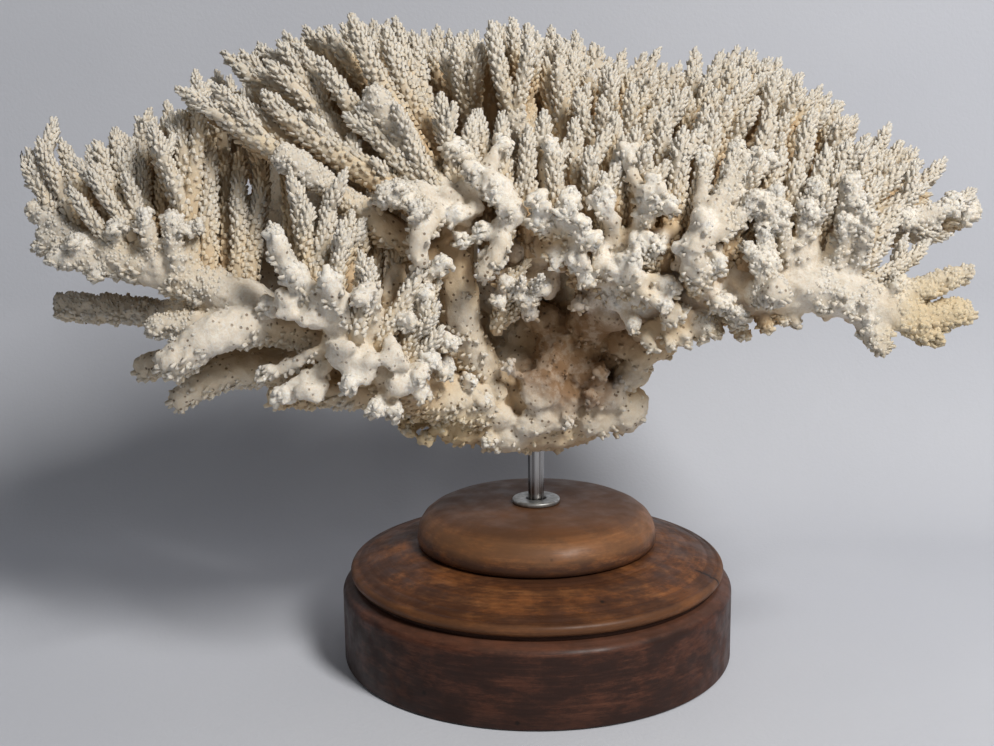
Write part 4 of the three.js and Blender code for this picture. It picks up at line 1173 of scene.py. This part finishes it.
def rounded(points):
    # Ends the list of (x, y, z, radius) in a dome.
    ahead = unit(points[-1, :3] - points[-2, :3])
    radius = points[-1, 3]
    dome = ((0.5, 0.8), (0.75, 0.35))
    caps = [np.append(points[-1, :3] + ahead * radius * up, radius * wide) for up, wide in dome]
    return np.vstack([points, caps])


def swept(name, lines):
    curve = bpy.data.curves.new(name, "CURVE")
    curve.dimensions = "3D"
    curve.bevel_depth = 1.0
    curve.bevel_resolution = 2
    curve.use_fill_caps = True
    for points in lines:
        spline = curve.splines.new("POLY")
        spline.points.add(len(points) - 1)
        for spot, (x, y, z, radius) in zip(spline.points, points * MM):
            spot.co = (x, y, z, 1)
            spot.radius = radius
    piece = bpy.data.objects.new(name, curve)
    bpy.context.scene.collection.objects.link(piece)
    choose(piece)
    bpy.ops.object.convert(target="MESH")
    return bpy.context.object


def nodules(points, share, low, high):
    # Small balls over the sides of a swept line, thicker towards its end.
    count = int(share * np.sum(2 * math.pi * points[:, 3]) * 3.0 / (high * high * 2.2))
    at = rng.random(count) ** 0.6 * (len(points) - 1)
    here = np.stack([np.interp(at, np.arange(len(points)), points[:, k]) for k in range(4)], 1)
    out = unit(rng.normal(size=(count, 3)))
    radius = rng.uniform(low, high, count)
    places = here[:, :3] + out * (here[:, 3:] * rng.uniform(0.85, 1.05, (count, 1)))
    return [(*place, r, r, r) for place, r in zip(places, radius)]


def knob_balls(x, y, z, radius):
    # A warty head: an uneven middle with a dozen small warts, most of them up and to the front.
    balls = [(x, y, z, *(radius * rng.uniform(0.4, 0.65, 3) * (1, 1, 1.25)))]
    for out in unit(rng.normal(size=(10, 3)) + (0, -0.3, 0.4)):
        wart = radius * rng.uniform(0.20, 0.42)
        balls.append((*(np.array((x, y, z)) + out * radius * rng.uniform(0.4, 0.85)), wart, wart, wart))
    return balls


def lobe_balls(x, y, z, *radii):
    # A swelling: its middle with half a dozen smaller swellings that overlap it.
    balls = [(x, y, z, *(np.array(radii) * 0.8))]
    for out in unit(rng.normal(size=(11, 3)) + (0, -0.3, 0.1)):
        size = np.array(radii) * rng.uniform(0.25, 0.5)
        balls.append((*(np.array((x, y, z)) + out * radii * rng.uniform(0.55, 0.85)), *size))
    return balls


def add_knob_cups(growth, x, y, z, radius):
    # Blunt little cups that stand out of the head on all sides, whitened by wear.
    out = unit(rng.normal(size=(int(0.5 * radius * radius), 3)) + (0, -0.25, 0.35))
    heading = unit(out + (0, 0, 0.8))
    widths = rng.uniform(1.1, 1.9, len(out))
    places = (x, y, z) + out * radius * rng.uniform(0.4, 0.66, (len(out), 1))
    lengths = rng.uniform(0.9, 1.8, len(out))
    inner = rng.uniform(0, 0.15, len(out))
    growth.add_cups(places, heading, lengths, widths, inner, rng.uniform(0.4, 0.9, len(out)))


def neck_to(knob, lines):
    # A short neck from the nearest place on the lines to the knob.
    places = np.vstack(lines)
    middle = np.array(knob[:3])
    root = places[np.argmin(np.linalg.norm(places[:, :3] - middle, axis=1) - 0.5 * places[:, 3])]
    bulge = (root[:3] + middle) / 2 + rng.uniform(-2, 2, 3)
    ends = [(*root[:3], min(root[3], 0.7 * knob[3])), (*bulge, 0.52 * knob[3]), (*middle, 0.45 * knob[3])]
    return curved(ends, 2.0)


def clouded(name, size, depth):
    texture = bpy.data.textures.new(name, "CLOUDS")
    texture.noise_scale = size
    texture.noise_depth = depth
    return texture


SWELL = clouded("swell", 0.012, 2)
WARTS = clouded("warts", 0.0045, 1)
ROUGH = clouded("rough", 0.0022, 1)


def melted(piece, skin, kept_share):
    # Fuses all parts of the piece into one skin and makes it uneven, as lime that grew does.
    apply_modifier(piece, "REMESH", mode="VOXEL", voxel_size=skin, use_smooth_shade=True)
    apply_modifier(piece, "SMOOTH", factor=0.5, iterations=2)
    for texture, strength in ((SWELL, 0.0030), (WARTS, 0.0020), (ROUGH, 0.0012)):
        unevenness = {"texture": texture, "strength": strength, "texture_coords": "LOCAL", "mid_level": 0.5}
        apply_modifier(piece, "DISPLACE", **unevenness)
    apply_modifier(piece, "DECIMATE", ratio=kept_share)
    deselect()


def read_vectors(items, label):
    values = np.empty(len(items) * 3, np.float32)
    items.foreach_get(label, values)
    return values.reshape(-1, 3).astype(float)


def mark(piece, label, values):
    layer = piece.data.attributes.new(label, "FLOAT", "POINT")
    layer.data.foreach_set("value", np.clip(values, 0, 1).astype(np.float32))


def near_balls(places, balls, start=1.75, end=1.1):
    # 1 within a ball or close over it, falling to 0.
    most = np.zeros(len(places))
    for x, y, z, *radii in balls:
        away = np.linalg.norm((places - (x, y, z)) / radii, axis=1)
        most = np.maximum(most, smooth_step(away, start, end))
    return most


def body_shade(places):
    # How deep a place lies: below the crown, and behind the front of the coral. Deeper places and the middle
    # are painted darker, partly dust and partly painted shade.
    below = crown(places[:, 0], places[:, 1]) - places[:, 2]
    behind = places[:, 1] - along(FRONT_EDGE, places[:, 0])
    middle = smooth_step(places[:, 0], -70, -35) * smooth_step(places[:, 0], 120, 60)
    return 0.15 + 0.08 * middle + 0.16 * smooth_step(below, 15, 95) * smooth_step(behind, -10, 40)


def bears_sprigs(places, limb):
    # 1 where the skin carries sprigs and is set close with cups, and 0 on the bare bodies in front.
    below = crown(places[:, 0], places[:, 1]) - places[:, 2]
    share = smooth_step(below, 112, 80) * smooth_step(places[:, 1] - along(FRONT_EDGE, places[:, 0]), -16, -4)
    if "hub" in limb:
        share = np.maximum(share, smooth_step(places[:, 0], -38, -48) * smooth_step(places[:, 2], 226, 236))
    return share


def dressed(name, limb, core, growth, cups_apart, hanging_cups=0.85):
    # Adds low cups to the skin of the core, then joins what grew on it.
    places = read_vectors(core.data.polygons, "center") / MM
    normals = read_vectors(core.data.polygons, "normal")
    in_field = bears_sprigs(places, limb)
    field_apart = 2.4 + 1.2 * smooth_step(places[:, 1], 0, 40)
    apart = np.where(in_field > 0.5, field_apart, cups_apart)
    order = rng.permutation(len(places))
    cell = np.floor(places / apart[:, None]).astype(int)[order]
    _, first = np.unique(cell @ np.array((1, 1009, 1000003)), return_index=True)
    chosen = order[first]
    lobes, knobs = limb.get("lobes", []), limb.get("knobs", [])
    smooth = near_balls(places[chosen], lobes)
    hanging = normals[chosen, 2] < -0.35
    liked = np.where(in_field[chosen] > 0.5, 0.95, np.where(hanging, hanging_cups, 0.11))
    chosen = chosen[(smooth < 0.35) & (rng.random(len(chosen)) < liked)]
    spots, out = places[chosen], normals[chosen]
    rising = np.stack([along(LEAN, spots[:, 0]), 0 * spots[:, 0], 1 + 0 * spots[:, 0]], 1)
    outward = unit(spots - (0.0, 0.0, 120.0))
    along_skin = np.where(in_field[chosen][:, None] > 0.5, unit(rising), outward)
    heading = unit(out * 0.75 + along_skin * 0.6)
    lengths = rng.uniform(0.6, 1.5, len(chosen)) * (1 + 1.3 * (out[:, 2] < -0.35))
    widths = rng.uniform(0.7, 1.05, len(chosen)) * (1 + 0.6 * (out[:, 2] < -0.35))
    shade = body_shade(spots) - 0.06
    growth.add_cups(spots - out * 0.3, heading, lengths, widths, shade, np.zeros(len(chosen)))
    core_places = read_vectors(core.data.vertices, "co") / MM
    core.data.vertices.foreach_set("co", (np.clip(core_places, LOWEST, HIGHEST) * MM).ravel())
    heads = [(*knob[:3], *[knob[3]] * 3) for knob in knobs]
    white = np.maximum(near_balls(core_places, heads, 1.5, 0.8), near_balls(core_places, lobes) * 0.4)
    mark(core, "inner", body_shade(core_places) + 0.04)
    mark(core, "broken", white * 0.85)
    mark(core, "pored", (1 - 0.7 * white) * (1 - 0.75 * bears_sprigs(core_places, limb)))
    grown = mesh_piece(name + "_growth", growth)
    mark(grown, "inner", np.concatenate(growth.inner))
    mark(grown, "broken", np.concatenate(growth.broken))
    mark(grown, "pored", np.zeros(growth.count))
    joined(core, grown)
    bpy.ops.object.shade_smooth()
    core.name = core.data.name = name
    core.data.materials.clear()
    core.data.materials.append(CORAL)
    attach(core, "root")


LOWEST = np.array(cad_box[0]) / MM + 0.2
HIGHEST = np.array(cad_box[1]) / MM - 0.2

for name, limb in LIMBS.items():
    front = name in FRONT_LIMBS
    growth = Growth()
    branches = [curved(points, 3.0) for points in limb.get("branches", [])]
    stubs = [curved(points, 2.0) for points in limb.get("stubs", [])]
    trunks = [forked(growth, *trunk) for trunk in TRUNKS[name]]
    lobes, knobs = limb.get("lobes", []), limb.get("knobs", [])
    necks = [neck_to(knob, branches + stubs) for knob in knobs]
    core = swept(name + "_core", [rounded(points) for points in branches + stubs + trunks] + necks)
    balls = []
    for lobe in lobes:
        balls += lobe_balls(*lobe)
    for points in stubs + necks:
        balls += nodules(points, 0.22, 0.9, 1.8)
    for knob in knobs:
        balls += knob_balls(*knob)
        add_knob_cups(growth, *knob)
    for sprig in limb.get("sprigs", []):
        add_front_sprig(growth, *sprig)
    if balls:
        joined(core, of_balls(name + "_swellings", balls))
    melted(core, SKIN_FINE if front else SKIN_COARSE, 0.5 if front else 0.4)
    dressed("grown_" + name, limb, core, growth, 3.4 if front else 5.0)
    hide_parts(name)


# The foot: the knot of lime from which all limbs spread, broken off its reef below. It has a pale broken
# disc with a dark hole beside it in front, a cracked oval lump at the right, and the rod goes in below.
FOOT_LUMPS = [
    (4, 0, 138, 41, 35, 31),
    (0, -4, 122, 39, 32, 15),
    (8, 6, 166, 34, 29, 26),
    (41, -20, 131, 14, 15, 13),
    (-34, -20, 128, 21, 19, 15),
    (-14, -28, 121, 14, 12, 11),
    (-36, -30, 126, 14, 10, 10),
    (-17, -36, 130, 8, 7, 6),
    (-3, -38, 126, 7, 6, 6),
    (9, -34, 154, 9, 7, 11),
    (13, -35, 138, 9, 7, 9),
    (2, -36, 130, 9, 7, 8),
    (28, -30, 128, 10, 8, 9),
    (34, -34, 140, 8, 7, 8),
    (24, -34, 150, 8, 6, 8),
    (-22, -34, 142, 9, 7, 9),
    (-30, -36, 150, 8, 6, 8),
    (46, -30, 150, 9, 8, 8),
    (58, -34, 164, 9, 8, 8),
    (50, -34, 160, 8, 7, 9),
    (40, -34, 166, 8, 6, 8),
    (16, -26, 162, 17, 12, 17),
    (27, -30, 170, 11, 9, 11),
    (4, -28, 176, 10, 9, 8),
    (-20, 4, 186, 14, 12, 14),
]
FOOT_DISC = [(3, -18, 138, 13), (3, -34, 143, 11), (2.5, -44, 145, 9.6)]
FOOT_FACE = (3, -46, 144, 10, 7, 10)
GLUE_BEAD = (0, -1, 108, 6.5, 6.5, 3.5)
FOOT_HOLES = [(-9, -42, 146, 3.4, 18, 4.6), (-6, -40, 172, 6, 14, 5), (-24, -46, 180, 4, 16, 8)]
FOOT_KNOBS = [
    (-57, -44, 134, 6),
    (-31, -50, 150, 6),
    (-61, -40, 125, 5),
    (-51, -42, 122, 5),
    (-44, -44, 129, 6),
    (-66, -38, 131, 5),
    (-25, -46, 140, 6),
    (-22, -40, 120, 5),
    (-38, -44, 142, 6),
    (14, -38, 128, 6),
    (26, -38, 140, 6),
    (-12, -44, 156, 5),
    (30, -40, 152, 6),
    (40, -36, 146, 5),
]

foot_growth = Growth()
foot_balls = list(FOOT_LUMPS) + [GLUE_BEAD]
for knob in FOOT_KNOBS:
    foot_balls += knob_balls(*knob)
    add_knob_cups(foot_growth, *knob)
middle_line = [np.array([(0, -20, 134, 30.0), (-30, -20, 130, 18.0), (30, -20, 134, 14.0)])]
foot_necks = [neck_to(knob, middle_line) for knob in FOOT_KNOBS]
core = swept("foot_core", [curved(FOOT_DISC, 2.0)] + foot_necks)
joined(core, of_balls("foot_lumps", foot_balls))
apply_modifier(core, "REMESH", mode="VOXEL", voxel_size=0.0014, use_smooth_shade=True)
hollows = of_balls("foot_hollows", FOOT_HOLES)
apply_modifier(core, "BOOLEAN", object=hollows, operation="DIFFERENCE", solver="EXACT", use_self=True)
bpy.data.objects.remove(hollows)
melted(core, 0.0011, 0.6)
dressed("grown_coral_foot", {"lobes": [FOOT_FACE, GLUE_BEAD]}, core, foot_growth, 3.0, 0.15)
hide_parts("coral_foot")


# The dust and painted shade: where the growth is close the coral is tan to brown, partly old dust and partly
# painted shade of the recesses. Each place is toned by how full the space is in front of it and above it,
# towards the light.
CELL = 4.0
BLUR_STEPS = 2
NEAR_LOOK = 9
FAR_LOOK = 20
TOWARDS_LIGHT = np.array((0.15, -0.75, 0.62))


def blurred(filled):
    for axis in range(3):
        for _ in range(BLUR_STEPS):
            filled = (np.roll(filled, 1, axis) + filled + np.roll(filled, -1, axis)) / 3
    return filled


def between_cells(values, places):
    # The value at each place, blended from the eight cells around it.
    at = np.clip((places - GRID_START) / CELL - 0.5, 0, np.array(values.shape) - 1.001)
    low = at.astype(int)
    share = at - low
    total = np.zeros(len(places))
    for corner in np.ndindex(2, 2, 2):
        weight = np.prod(np.where(corner, share, 1 - share), axis=1)
        total += weight * values[tuple((low + corner).T)]
    return total


corals = [piece for piece in bpy.data.objects if piece.name.startswith("grown_")]
places_of = [read_vectors(piece.data.vertices, "co") / MM for piece in corals]
GRID_START = LOWEST - 5 * CELL
full = np.zeros(np.ceil((HIGHEST - GRID_START) / CELL + 5).astype(int))
for places in places_of:
    full[tuple(((places - GRID_START) / CELL).astype(int).T)] = 1.0
full = blurred(full)
for piece, places in zip(corals, places_of):
    layer = piece.data.attributes["inner"]
    inner = np.empty(len(places), np.float32)
    layer.data.foreach_get("value", inner)
    near = between_cells(full, places + NEAR_LOOK * TOWARDS_LIGHT)
    far = between_cells(full, places + FAR_LOOK * TOWARDS_LIGHT)
    inner += 0.68 * smooth_step((near + far) / 2, 0.10, 0.80) - 0.03
    layer.data.foreach_set("value", np.clip(inner, 0, 1))
